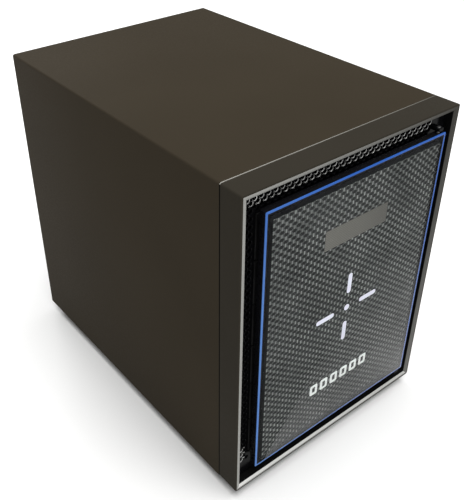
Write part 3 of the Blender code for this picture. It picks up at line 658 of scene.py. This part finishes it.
def node_chain(name, *kinds):
    """A geometry node group that sends its geometry through a row of nodes."""
    group = bpy.data.node_groups.new(name, "GeometryNodeTree")
    for end in ("INPUT", "OUTPUT"):
        group.interface.new_socket("Geometry", in_out=end, socket_type="NodeSocketGeometry")
    chain = [group.nodes.new(kind) for kind in ("NodeGroupInput", *kinds, "NodeGroupOutput")]
    for near, far in zip(chain, chain[1:]):
        group.links.new(near.outputs[0], far.inputs[0])
    return group, *chain[1:-1]


def welding_group():
    """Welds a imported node's loose triangles and drops its stored flat normals."""
    group, merge, drop = node_chain(
        "weld_node", "GeometryNodeMergeByDistance", "GeometryNodeRemoveAttribute"
    )
    merge.inputs["Distance"].default_value = 2e-6
    drop.inputs["Name"].default_value = "custom_normal"
    return group


def smoothing_group():
    """Shades smooth, apart from edges over the sharp angle."""
    shade = "GeometryNodeSetShadeSmooth"
    group, faces, edges = node_chain("smooth_node", shade, shade)
    faces.domain, edges.domain = "FACE", "EDGE"
    edges.inputs["Shade Smooth"].default_value = False
    angle = group.nodes.new("GeometryNodeInputMeshEdgeAngle")
    over = group.nodes.new("FunctionNodeCompare")
    over.data_type, over.operation = "FLOAT", "GREATER_THAN"
    over.inputs["B"].default_value = SHARP_ANGLE
    group.links.new(angle.outputs["Unsigned Angle"], over.inputs["A"])
    group.links.new(over.outputs["Result"], edges.inputs["Selection"])
    return group


WELD = welding_group()
SMOOTH = smoothing_group()


def dress(node, finish, bevel):
    """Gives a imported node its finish, with its edges eased by a bevel in millimetres."""
    obj = NODES[node]
    if not obj.data.materials:
        obj.data.materials.append(finish)
    obj.material_slots[0].material = finish
    obj.modifiers.new("weld", "NODES").node_group = WELD
    if bevel:
        modifier = obj.modifiers.new("edge", "BEVEL")
        modifier.width = bevel * MM
        modifier.segments = 2
        modifier.limit_method = "ANGLE"
        modifier.angle_limit = radians(50)
        modifier.harden_normals = False
    obj.modifiers.new("smooth", "NODES").node_group = SMOOTH


def dress_cad_nodes():
    for finish, bevel, nodes in (
        (CASING, 0.45, "wrap_cover"),
        (BEZEL, 0.0, "front_bezel"),
        (BLUE_STRIP, 0.25, "door_rim"),
        (GLASS, 0.25, "door_glass"),
        (MATTE_BLACK, 0.3, "door_frame"),
        (MATTE_BLACK, 0.4, "fan_frame"),
        (MATTE_BLACK, 0.0, "power_inlet"),
        (GLOSS_BLACK, 0.0, "hinge_bracket_top hinge_bracket_bottom"),
        (SCREW_STEEL, 0.2, "hinge_pin_top hinge_pin_bottom"),
        (SCREW_STEEL, 0.0, "catch_magnet"),
        (CIRCUIT, 0.1, "control_board backplane main_board front_io_board"),
        (ANODISED, 0.2, "heatsink"),
        (ZINC, 0.2, "cage_left cage_right cage_top"),
        (ZINC, 0.0, "lan_port_upper lan_port_lower usb_ports_rear front_usb_port psu_housing"),
        (BUTTON, 0.35, "power_button backup_button"),
        (BUTTON, 0.2, "reset_button"),
    ):
        for node in nodes.split():
            dress(node, finish, bevel)
    for bay in BAYS:
        dress(f"tray_{bay}", TRAY_BLACK, 0.0)
        dress(f"lever_{bay}", LEVER_GREY, 0.25)


# ---------------- front panel and door

def make_perforated_fascia():
    """Gloss panel with staggered round holes, plain by its openings, lower edge and hinge corner, with bright
    metal on the hole edges as painted glints in the top rows and lower left corner.
    """
    low, high = box_of("front_fascia")
    bays = around(box_of("tray_1")[0], box_of("tray_6")[1], 0.5)
    plain_side, plain_top, plain_foot, wall = 2.8, 2.0, 13.5, 1.2
    hinge_corner = (76.0, 236.0, high.x, high.z)
    loops = [rectangle(*around(low, high), 2.3), rectangle(*bays)]
    plain = [
        (bays[0] - plain_side, bays[1] - plain_side, bays[2] + plain_side, bays[3] + plain_top),
        (low.x, low.z, high.x, low.z + plain_foot),
        hinge_corner,
    ]
    for button in ("power_button", "backup_button"):
        button_low, button_high = box_of(button)
        u, v = middle_of(button).x, middle_of(button).z
        loops.append(circle(u, v, (button_high.x - button_low.x) / 2 - wall, 40))
        plain.append((u - 11, v - 13, u + 11, v + 13))
    socket_low, socket_high = box_of("front_usb_port")
    loops.append(rectangle(*around(socket_low, socket_high, 0.4)))
    plain.append((socket_low.x - 7, socket_low.z - 8, socket_high.x + 7, socket_high.z + 12))
    pitch, radius, margin, edge = 5.35, 1.45, 1.9, 0.34
    for u, v in staggered(around(low, high, -margin), pitch, low.x + 2.6, high.z - 2.4):
        if not any(inside(u, v, *kept) for kept in plain):
            loops.append(circle(u, v, radius, 12))
    fascia = Piece("perforated_fascia", GLOSS_BLACK, PUNCHED_EDGE_GLINT)
    fascia.sheet("XZ", loops, low.y, high.y, edge)
    # Painted glints: only the hole edges in the top rows and the lower left corner get bright metal;
    # elsewhere they stay gloss black.
    bright_rows, bright_corner = high.z - 9.5, (low.x + 9, low.z + 28)
    for face in fascia.gathered.faces:
        u, depth, v = face.calc_center_median() / MM
        glinting = v > bright_rows or (u < bright_corner[0] and v < bright_corner[1])
        face.material_index = int(glinting and abs(face.normal.y) < 0.95 and depth < low.y + edge)
    fascia.done("cabinet", "gloss_black", "front_fascia")


def staggered(area, pitch, first_u, top_v):
    """Centres of a staggered pattern inside an area, from its top row down."""
    for j in range(int((top_v - area[1]) / pitch * 2) + 1):
        for i in range(-1, int((area[2] - first_u) / pitch) + 1):
            u, v = first_u + (i + (j % 2) / 2) * pitch, top_v - j * pitch / 2
            if inside(u, v, *area):
                yield u, v


def hexagon(point, corner, half):
    """The corners of a six-sided outline that has points at its left and right."""
    return ((point, 0), (corner, half), (-corner, half), (-point, 0), (-corner, -half), (corner, -half))


def make_expanded_mesh():
    """Sheet of six-sided openings in staggered columns, with a raised bond between each two, painted a
    lighter grey as a highlight.
    """
    low, high = box_of("door_mesh")
    glass_low, glass_high = box_of("door_glass")
    front, strand_depth, filter_gap = low.y - 0.06, 0.03, 0.04
    left, right = glass_low.x + 1.2, glass_high.x - 0.3
    bottom, top = glass_low.z + 0.4, glass_high.z - 0.8
    column_pitch, row_pitch, bond = 3.35, 5.2, 0.5
    columns = int((right - left + 2 * bond) / column_pitch) - 1
    rows = int((top - bottom) / row_pitch)
    column = (right - left + 2 * bond) / (columns + 1)
    row = (top - bottom) / (rows + 0.5)
    reach = column - bond
    cell, opening = hexagon(reach, bond, row / 2), hexagon(2.1, 0.5, 1.6)
    strands, bonds = bmesh.new(), bmesh.new()
    for i in range(columns):
        u = left + reach + i * column
        for j in range(rows):
            v = bottom + (j + (i % 2 + 1) / 2) * row
            outer, inner = (
                [strands.verts.new(Vector((u + a, depth, v + b)) * MM) for a, b in corners]
                for corners, depth in ((cell, front), (opening, front - strand_depth))
            )
            for k in range(6):
                n = (k + 1) % 6
                strands.faces.new((outer[k], outer[n], inner[n], inner[k]))
            if v + row < top:
                raise_bond(bonds, u, front, v + row / 2)
    bmesh.ops.remove_doubles(strands, verts=strands.verts, dist=1e-5)
    bmesh.ops.recalc_face_normals(strands, faces=strands.faces)
    sheet = Piece("expanded_mesh", MESH_STRAND, FILTER_BLACK)
    sheet.take(strands)
    sheet.sheet("XZ", [rectangle(*around(low, high))], front + filter_gap, high.y, 0.0, 1)
    sheet.done("door", "mesh_steel", "door_mesh")
    # The raised bonds take the lighter grey of a painted highlight.
    raised = Piece("mesh_bonds", MESH_BOND_HIGHLIGHT)
    raised.take(bonds)
    raised.done("door", "mesh_steel")


def raise_bond(part, u, front, v):
    """A narrow upright ridge, 2.7 mm tall, standing a little off the sheet."""
    half, tall, ridge, height = 0.5, 1.35, 0.85, 0.14
    base = [
        part.verts.new(Vector((u + a * half, front, v + b * tall)) * MM)
        for a, b in ((-1, -1), (1, -1), (1, 1), (-1, 1))
    ]
    low = part.verts.new(Vector((u, front - height, v - ridge)) * MM)
    high = part.verts.new(Vector((u, front - height, v + ridge)) * MM)
    part.faces.new((base[0], base[1], low))
    part.faces.new((base[1], base[2], high, low))
    part.faces.new((base[2], base[3], high))
    part.faces.new((base[3], base[0], low, high))


def make_door_marks():
    """Touch mark, a dark strip of painted shade along the glass's left and top edges, display window and
    maker's mark, all just behind the glass.
    """
    glass_low, glass_high = box_of("door_glass")
    back = glass_high.y
    near, far = back + 0.06, back + 0.2
    low, high = box_of("touch_light_guide")
    centre = middle_of("touch_light_guide").z
    start, end, width, dot, backing = 12.7, 29.7, 3.8, 2.5, 0.9
    marks = Piece("touch_marks", LIGHT_MARK, MATTE_BLACK)
    marks.sheet("XZ", [circle(0, centre, dot, 40)], near, far)
    for side in (-1, 1):
        middle = side * (start + end) / 2
        marks.sheet("XZ", [slot_hole(middle, centre, end - start, width)], near, far)
        marks.sheet("XZ", [slot_hole(0, centre + middle, end - start, width, True)], near, far)
    marks.block((low.x, high.y - backing, low.z), high, 0.2, 1)
    marks.done("door", "light_guide", "touch_light_guide")

    # Painted shade: a matte black strip along the left and top edges of the glass stands in for the shaded
    # bevel of the glass there.
    left, foot, right, head = around(glass_low, glass_high, -0.4)
    side, top = glass_low.x + 3.0, glass_high.z - 4.0
    outline = [(left, foot), (side, foot), (side, top), (right, top), (right, head), (left, head)]
    border = Piece("glass_edge_shade", MATTE_BLACK)
    border.sheet("XZ", [outline], back + 0.05, back + 0.08)
    border.done("door", "matte_black")

    low, high = box_of("display_module")
    window = Piece("display_window", DISPLAY, MATTE_BLACK)
    window.sheet("XZ", [rectangle(*around(low, high), 0.5)], near, far)
    window.block((low.x, far + 0.5, low.z), high, 0.2, 1)
    window.done("door", "display", "display_module")

    mark = Piece("maker_mark", PRINT_WHITE)
    count, pitch, wide, tall, line, middle_z = 6, 10.3, 7.4, 9.7, 2.2, 70.2
    for k in range(count):
        u = (k - (count - 1) / 2) * pitch
        left, right = u - wide / 2, u + wide / 2
        foot, head = middle_z - tall / 2, middle_z + tall / 2
        opening = rectangle(left + line, foot + line, right - line, head - line, 0.6)
        mark.sheet("XZ", [rectangle(left, foot, right, head, 1.6), opening], near, far)
    mark.done("door", "light_guide")


# ---------------- casing, rear and underside

def cross(u, v, reach, half):
    """A plus-shaped outline."""
    quarter = [(half, half), (half, reach), (-half, reach)]
    outline = []
    for cos_turn, sin_turn in ((1, 0), (0, 1), (-1, 0), (0, -1)):
        for a, b in quarter:
            outline.append((u + a * cos_turn - b * sin_turn, v + a * sin_turn + b * cos_turn))
    return outline


def screw_head(piece, plane, u, v, surface, outward, radius, finish):
    """A low head with a cross recess on a surface; outward is 1 or -1 along the plane's normal."""
    tall, sunk = 0.9, 0.35
    for loops, height in (
        ([circle(u, v, radius, 24), cross(u, v, radius * 0.58, radius * 0.17)], tall),
        ([circle(u, v, radius * 0.8, 20)], sunk),
    ):
        ends = sorted((surface, surface + outward * height))
        piece.sheet(plane, loops, *ends, 0.12, finish)


def make_rear_panel():
    """Back sheet with staggered vent holes above and below the fan, and its fixing screws."""
    low, high = box_of("rear_panel")
    fan, reset = middle_of("fan_guard"), middle_of("reset_button")
    fan_opening, reset_hole, lip, gap = 55.5, 1.7, 2.0, 0.5
    loops = [
        rectangle(*around(low, high), 1.0),
        circle(fan.x, fan.z, fan_opening, 72),
        rectangle(*around(*box_of("psu_housing"), -lip), 1.5),
        circle(reset.x, reset.z, reset_hole, 20),
    ]
    for node in ("lan_port_upper", "lan_port_lower", "usb_ports_rear"):
        loops.append(rectangle(*around(*box_of(node), gap)))
    pitch, hole, inset = 5.4, 1.45, 2
    upper_vent, lower_vent = (-78, 220, 34, 242), (-86, 22, 42, 82)
    for vent in (upper_vent, lower_vent):
        for u, v in staggered(vent, pitch, vent[0] + inset, vent[3] - inset):
            loops.append(circle(u, v, hole, 12))
    panel = Piece("rear_panel_vented", CASING, SCREW_STEEL)
    panel.sheet("XZ", loops, low.y, high.y, 0.16)
    side, top = high.x - 4.5, high.z - 5.0
    screws = [(u, v) for v in (18, 90, 165, 228) for u in (-side, side)]
    for u, v in [*screws, (-48, top), (0, top), (44, top)]:
        screw_head(panel, "XZ", u, v, high.y, 1, 2.8, 1)
    panel.done("cabinet", "casing", "rear_panel")


def make_fan_rotor():
    """Domed hub with seven blades, each twisted from root to tip and swept forward."""
    low, high = box_of("fan_rotor")
    rotor = Piece("fan_rotor_blades", MATTE_BLACK)
    x, z = FAN_CENTRE_X, middle_of("fan_guard").z
    front, back, hub, cup, blades, tip = low.y + 1.6, high.y - 1.0, 19.5, 17.5, 7, 52.5
    profile = [(0.0, front), (12.0, front), (17.0, front + 0.6), (19.1, front + 2.4)]
    profile += [(hub, front + 4.6), (hub, back), (cup, back), (cup, back - 1.5), (0.0, back - 1.5)]
    rotor.turned("Y", (x, z), profile, 0, 64)
    centre = Vector((x, middle_of("fan_rotor").y, z))
    for k in range(blades):
        rotor.take(blade(centre, 2 * pi * k / blades, hub - 0.6, tip))
    rotor.done("fan_rotor", "matte_black", "fan_rotor")


def blade(centre, start, root, tip):
    """One closed blade between two radii, built as a front and a back skin."""
    part = bmesh.new()
    steps, chords, half_thickness = 9, 8, 0.65
    skins = []
    for skin in (-1, 1):
        grid = []
        for i in range(steps + 1):
            share = i / steps
            radius = root + (tip - root) * share
            pitch = radians(46 - 20 * share)
            chord = 18 + 13 * share
            row = []
            for j in range(chords + 1):
                t = j / chords * 2 - 1
                around = chord / 2 * t * cos(pitch) + 9 * share * share
                along = chord / 2 * t * sin(pitch) + 2.2 * (1 - t * t)
                along += skin * half_thickness * (1 - 0.75 * t * t)
                turn = start + around / radius
                place = Vector((radius * cos(turn), along, radius * sin(turn)))
                row.append(part.verts.new((centre + place) * MM))
            grid.append(row)
        skins.append(grid)
    front, back = skins
    for i in range(steps):
        for j in range(chords):
            for grid in (front, back):
                part.faces.new((grid[i][j], grid[i + 1][j], grid[i + 1][j + 1], grid[i][j + 1]))
    border = [(i, 0) for i in range(steps)] + [(steps, j) for j in range(chords)]
    border += [(i, chords) for i in range(steps, 0, -1)] + [(0, j) for j in range(chords, 0, -1)]
    for (i, j), (m, n) in zip(border, border[1:] + border[:1]):
        part.faces.new((front[i][j], front[m][n], back[m][n], back[i][j]))
    bmesh.ops.recalc_face_normals(part, faces=part.faces)
    return part


def make_fan_guard():
    """Welded wire rings on eight spokes, with an eyelet and a screw at each corner."""
    low, high = box_of("fan_guard")
    x, z, wire, plate = FAN_CENTRE_X, middle_of("fan_guard").z, 0.75, 0.9
    ring_y, spoke_y, eyelet = low.y + wire, high.y - 0.35, 52.5 * 2 ** 0.5
    guard = Piece("fan_wire_guard", ZINC, SCREW_STEEL)
    for radius in range(10, 60, 7):
        points = [(x + u, ring_y, z + v) for u, v in circle(0, 0, radius, 64)]
        guard.wire(points, wire, True)
    for k in range(4):
        turn = pi / 4 + k * pi / 2
        u, v = cos(turn), sin(turn)
        spoke = [(x + u * r, spoke_y, z + v * r) for r in (10, eyelet - 6)]
        bent = (x + u * (eyelet - 4), ring_y, z + v * (eyelet - 4))
        guard.wire([*spoke, bent], wire)
        u, v = x + u * eyelet, z + v * eyelet
        guard.sheet("XZ", [circle(u, v, 4.6, 28), circle(u, v, 2.0, 20)], low.y, low.y + plate, 0.15)
        screw_head(guard, "XZ", u, v, low.y + plate, 1, 3.2, 1)
    for k in range(4):
        turn = k * pi / 2
        guard.wire([(x + r * cos(turn), spoke_y, z + r * sin(turn)) for r in (17, 59)], wire)
    guard.sheet("XZ", [circle(x, z, 9.5, 40)], low.y, low.y + 1.0, 0.2)
    guard.done("cabinet", "steel", "fan_guard")


def make_feet():
    """Moulded feet with a screw sunk in the middle of each sole."""
    sunk = 2.2
    sole = [(0.0, sunk), (4.6, sunk), (4.8, 0.3), (5.2, 0.0), (8.3, 0.0), (9.0, 0.6)]
    for end in ("front", "rear"):
        for side in ("left", "right"):
            node = f"foot_{end}_{side}"
            top, place = box_of(node)[1].z, middle_of(node)
            foot = Piece(f"{node}_moulded", RUBBER, SCREW_STEEL)
            profile = [*sole, (9.3, 3.0), (10.0, 8.4), (9.9, top), (0.0, top)]
            foot.turned("Z", (place.x, place.y), profile, 0, 48)
            screw_head(foot, "XY", place.x, place.y, sunk, -1, 3.2, 1)
            foot.done("cabinet", "rubber", node)


def make_thumbscrews():
    """Knurled heads with a slotted face."""
    teeth, tooth, shank, slot_long, slot_wide = 30, 0.35, 2.6, 6.4, 1.1
    for side in ("left", "right"):
        node = f"thumbscrew_{side}"
        low, high = box_of(node)
        u, v = middle_of(node).x, middle_of(node).z
        radius, shoulder, face = (high.x - low.x) / 2, low.y + 1.0, high.y - 0.9
        knurl = []
        for k in range(teeth * 2):
            reach = radius - (0.0 if k % 2 else tooth)
            turn = pi * k / teeth
            knurl.append((u + reach * cos(turn), v + reach * sin(turn)))
        screw = Piece(f"{node}_knurled", SCREW_STEEL)
        screw.sheet("XZ", [knurl], shoulder, face)
        stem = [(0.0, low.y), (shank, low.y), (shank, shoulder), (0.0, shoulder)]
        screw.turned("Y", (u, v), stem)
        loops = [circle(u, v, radius - 0.4, 40), slot_hole(u, v, slot_long, slot_wide)]
        screw.sheet("XZ", loops, face, high.y, 0.2)
        screw.done("cabinet", "steel", node)


def make_base_pan():
    """Floor sheet with rows of cooling slots, its two folded edges, and screws from below."""
    low, high = box_of("base_pan")
    sheet, ease, fold = 1.2, 0.25, 0.6
    across, along, slot_long, slot_wide, row_start = 22, 7.5, 15, 3.2, 8
    loops = [rectangle(low.x, low.y, high.x, high.y, 1.0)]
    for i in range(-2, 3):
        for j in range(-7, 8):
            loops.append(slot_hole(i * across, row_start + j * along, slot_long, slot_wide))
    pan = Piece("base_pan_slotted", CASING, SCREW_STEEL)
    pan.sheet("XY", loops, low.z, low.z + sheet, ease)
    for start, end in ((low.x, low.x + sheet), (high.x - sheet, high.x)):
        pan.block((start, low.y, low.z + fold), (end, high.y, high.z), ease)
    for u in (-88, 88):
        for v in (-85, 10, 95):
            screw_head(pan, "XY", u, v, low.z, -1, 2.8, 1)
    pan.done("cabinet", "casing", "base_pan")


def make_ports():
    """Contacts, tongues, pins and status lights inside the sockets."""
    mouth, bend, root, wall = 137.4, 134.5, 126.4, (125.6, 126.2)
    contact_pitch, side, edge, lamp = 1.02, 2.7, 2.2, 1.1
    jacks = Piece("network_contacts", GOLD, LED_GREEN, LED_AMBER, MATTE_BLACK)
    for node in ("lan_port_upper", "lan_port_lower"):
        low, high = box_of(node)
        middle = (low.z + high.z) / 2
        for k in range(8):
            z = middle + (k - 3.5) * contact_pitch
            bends = [(high.x - 2.9, mouth, z), (high.x - 3.1, bend, z), (high.x - 6.3, root, z)]
            jacks.wire(bends, 0.22)
        start, end = (low.x + side, wall[0], low.z + edge), (high.x - side, wall[1], high.z - edge)
        jacks.block(start, end, 0.1, 3)
        for finish, z in ((1, low.z + 4.0), (2, high.z - 4.0)):
            start = (high.x - 1.9, high.y - 0.1, z - lamp)
            jacks.block(start, (high.x - 0.6, high.y + 0.25, z + lamp), 0.1, finish)
    jacks.done("cabinet", "steel")

    tongues = Piece("usb_tongues", PORT_PLASTIC, GOLD)
    for node, left, root, tip in (
        ("usb_ports_rear", 1.0, 128.2, 137.2),
        ("usb_ports_rear", 9.1, 128.2, 137.2),
        ("front_usb_port", 0.8, -122.2, -131.2),
    ):
        low, high = box_of(node)
        usb_tongue(tongues, low.x + left, root, tip, low.z + 1.5, high.z - 1.5)
    tongues.done("cabinet", "steel")

    centre, pin_root, pin_tip = middle_of("power_inlet"), 121.2, 136.4
    pins = Piece("inlet_pins", SCREW_STEEL)
    for offset, lift in ((-7, -2), (0, 2), (7, -2)):
        u, v = centre.x + offset, centre.z + lift
        pins.block((u - 1, pin_root, v - 2), (u + 1, pin_tip, v + 2), 0.4)
    pins.done("cabinet", "steel")


def usb_tongue(piece, left, root, tip, low, high):
    """A plastic tongue with four contact strips, standing in a well that is 5.6 mm wide."""
    start, end = min(root, tip), max(root, tip)
    face, back, strip, plastic, metal = left + 2.9, left + 4.7, 0.5, 0, 1
    piece.block((face, start, low + 0.6), (back, end, high - 0.6), 0.2, plastic)
    for k in range(4):
        z = low + (high - low) * (k + 1) / 5
        corner = (face - 0.15, start + 0.6, z - strip)
        piece.block(corner, (face + 0.02, end - 0.8, z + strip), 0.04, metal)


def make_power_supply_grille():
    """Perforated plate over a dark opening below the mains inlet, with a screw at each corner."""
    low, high = box_of("psu_housing")
    rim, top, inset, screw_inset, screw_room = 4.5, 60.0, 2.5, 2.6, 4.2
    back, left, right, bottom = high.y, low.x + rim, high.x - rim, low.z + rim
    plate_start, plate_end, ease = back + 0.3, back + 1.0, 0.5
    loops = [rectangle(left, bottom, right, top, 1.5)]
    area = (left + inset, bottom + inset, right - inset, top - inset)
    corners = [
        (u, v)
        for u in (left + screw_inset, right - screw_inset)
        for v in (bottom + screw_inset, top - screw_inset)
    ]
    for u, v in staggered(area, 5.0, left + 4.2, top - 4.0):
        if all(abs(u - a) > screw_room or abs(v - b) > screw_room for a, b in corners):
            loops.append(circle(u, v, 1.4, 12))
    grille = Piece("power_supply_grille", ZINC, MATTE_BLACK, SCREW_STEEL)
    grille.sheet("XZ", loops, plate_start, plate_end, 0.1)
    start = (left + ease, back + 0.02, bottom + ease)
    grille.block(start, (right - ease, plate_start, top - ease), 0.05, 1)
    for u, v in corners:
        screw_head(grille, "XZ", u, v, plate_end, 1, 2.0, 2)
    grille.done("cabinet", "psu_steel")


# ---------------- trays, drives and boards

def make_tray_details():
    """On each tray slotted vent strips, a latch and two status lights; on each lever grip ribs."""
    for bay in BAYS:
        low, high = box_of(f"tray_{bay}")
        face, left, right, latch = low.y, low.x + 3, high.x - 9, high.x - 5.8
        trim = Piece(f"tray_trim_{bay}", MATTE_BLACK, LEVER_GREY, LED_GREEN, LIGHT_MARK)
        for start, end in ((low.z + 1.6, low.z + 7.2), (low.z + 26.6, low.z + 31.6)):
            slots = [slot_hole(left + 6 + k * 8, (start + end) / 2, 6.0, 2.4) for k in range(11)]
            strip = [rectangle(left, start, right, end, 1.0), *slots]
            trim.sheet("XZ", strip, face - 0.6, face + 0.05, 0.15)
        trim.block((latch, face - 1.0, low.z + 11), (latch + 4, face + 0.1, low.z + 20), 0.5, 1)
        for finish, height in ((2, 25), (3, 28.6)):
            lamp = (latch + 2, low.z + height)
            trim.rod("Y", lamp, face - 0.4, face + 0.1, 1.0, 0.15, finish, 20)
        trim.done(f"tray_{bay}", "tray_plastic")
        low, high = box_of(f"lever_{bay}")
        grip = Piece(f"lever_grip_{bay}", LEVER_GREY)
        for k in range(5):
            u = low.x + 5 + k * 2.2
            grip.block((u, low.y - 0.35, low.z + 4.4), (u + 0.9, low.y + 0.1, high.z - 4.4), 0.15)
        grip.done(f"lever_{bay}", "lever_plastic")


def make_drives():
    """Cast bodies with a stepped lid, the motor's round boss and the lid's screws."""
    for bay in BAYS:
        node = f"drive_{bay}"
        low, high = box_of(node)
        middle = middle_of(node)
        board, lid_start, lid = low.z + 2.0, high.z - 2.0, high.z - 1.2
        drive = Piece(f"{node}_case", CAST_ALUMINIUM, DRIVE_LID, SCREW_STEEL, CIRCUIT)
        drive.block((low.x, low.y, board), (high.x, high.y, lid_start), 1.0)
        drive.block((low.x + 2, low.y + 6, low.z), (high.x - 2, high.y - 4, board), 0.3, 3)
        cover = rectangle(low.x + 1, low.y + 1, high.x - 1, high.y - 1, 3)
        drive.sheet("XY", [cover], lid_start, lid, 0.3, 1)
        raised = rectangle(low.x + 7, low.y + 24, high.x - 7, high.y - 9, 12, 8)
        drive.sheet("XY", [raised], lid, lid + 0.6, 0.3, 1)
        boss = [(17, lid + 0.5), (15.5, lid + 1.1), (0.0, lid + 1.1)]
        drive.turned("Z", (middle.x, middle.y + 22), boss, 1, 48)
        for u in (low.x + 4.5, middle.x, high.x - 4.5):
            for v in (low.y + 5, high.y - 5):
                screw_head(drive, "XY", u, v, lid, 1, 2.2, 2)
        drive.done(f"tray_{bay}", "drive_metal", node)


def make_board_parts():
    """Chips, capacitors, headers, a coin cell and memory on the main board, and the backplane's parts."""
    face = box_of("main_board")[0].x + 1.6
    parts = Piece("board_components", CHIP, CONNECTOR_WHITE, ZINC, SCREW_STEEL)
    chips = (-72, 196, 17, 17), (72, 122, 12, 12), (62, 172, 9, 7), (22, 228, 14, 9), (-16, 218, 10, 12)
    headers = (-86, 122, 5, 34), (-86, 162, 5, 20), (96, 190, 12, 5), (8, 118, 44, 6)
    can, can_top = 3.1, face + 8.5
    for y, z, width, height in chips:
        parts.block((face, y, z), (face + 1.5, y + width, z + height), 0.15)
    for y, z in ((82, 226), (92, 226), (102, 226), (-62, 226), (-52, 226), (74, 150), (84, 150)):
        profile = [(0, face), (can, face), (can, can_top - 0.3), (can - 0.3, can_top), (0, can_top)]
        parts.turned("X", (y, z), profile, 2, 28)
    for y, z, width, height in headers:
        parts.block((face, y, z), (face + 7.5, y + width, z + height), 0.3, 1)
    coin_cell = (100, 132)
    parts.rod("X", coin_cell, face, face + 3.2, 10.0, 0.4, 3, 48)
    for j in range(7):
        for i in range(14):
            y, z = -34 + i * 2.6, 196 + j * 3.4
            parts.block((face, y, z), (face + 0.6, y + 1.6, z + 0.8), 0.05, (i + j) % 2)
    for k in range(5):
        z = 126 + k * 12.6
        for y in (-44.9, -40.0):
            parts.block((face + 10, y, z), (face + 25, y + 0.9, z + 9), 0.12)
    parts.done("cabinet", "circuit")

    back = box_of("backplane")[1].y
    shrouds = Piece("backplane_components", CHIP, CONNECTOR_WHITE)
    for bay in BAYS:
        z = box_of(f"tray_{bay}")[0].z
        for x in (-50, 6):
            shrouds.block((x, back, z + 2), (x + 9, back + 1.4, z + 9), 0.15)
        for k in range(9):
            x = -34 + k * 3.4
            shrouds.block((x, back, z + 4), (x + 1.6, back + 0.6, z + 4.9), 0.05, k % 2)
    for z in (44, 214):
        shrouds.block((14, back, z), (26, back + 9, z + 16), 0.3, 1)
    shrouds.done("cabinet", "circuit")


# ---------------- assembly

bpy.context.scene.view_settings.view_transform = "Standard"
make_camera()
make_floor()
make_lights()
dress_cad_nodes()
make_perforated_fascia()
make_expanded_mesh()
make_door_marks()
make_rear_panel()
make_fan_rotor()
make_fan_guard()
make_feet()
make_thumbscrews()
make_base_pan()
make_ports()
make_power_supply_grille()
make_tray_details()
make_drives()
make_board_parts()
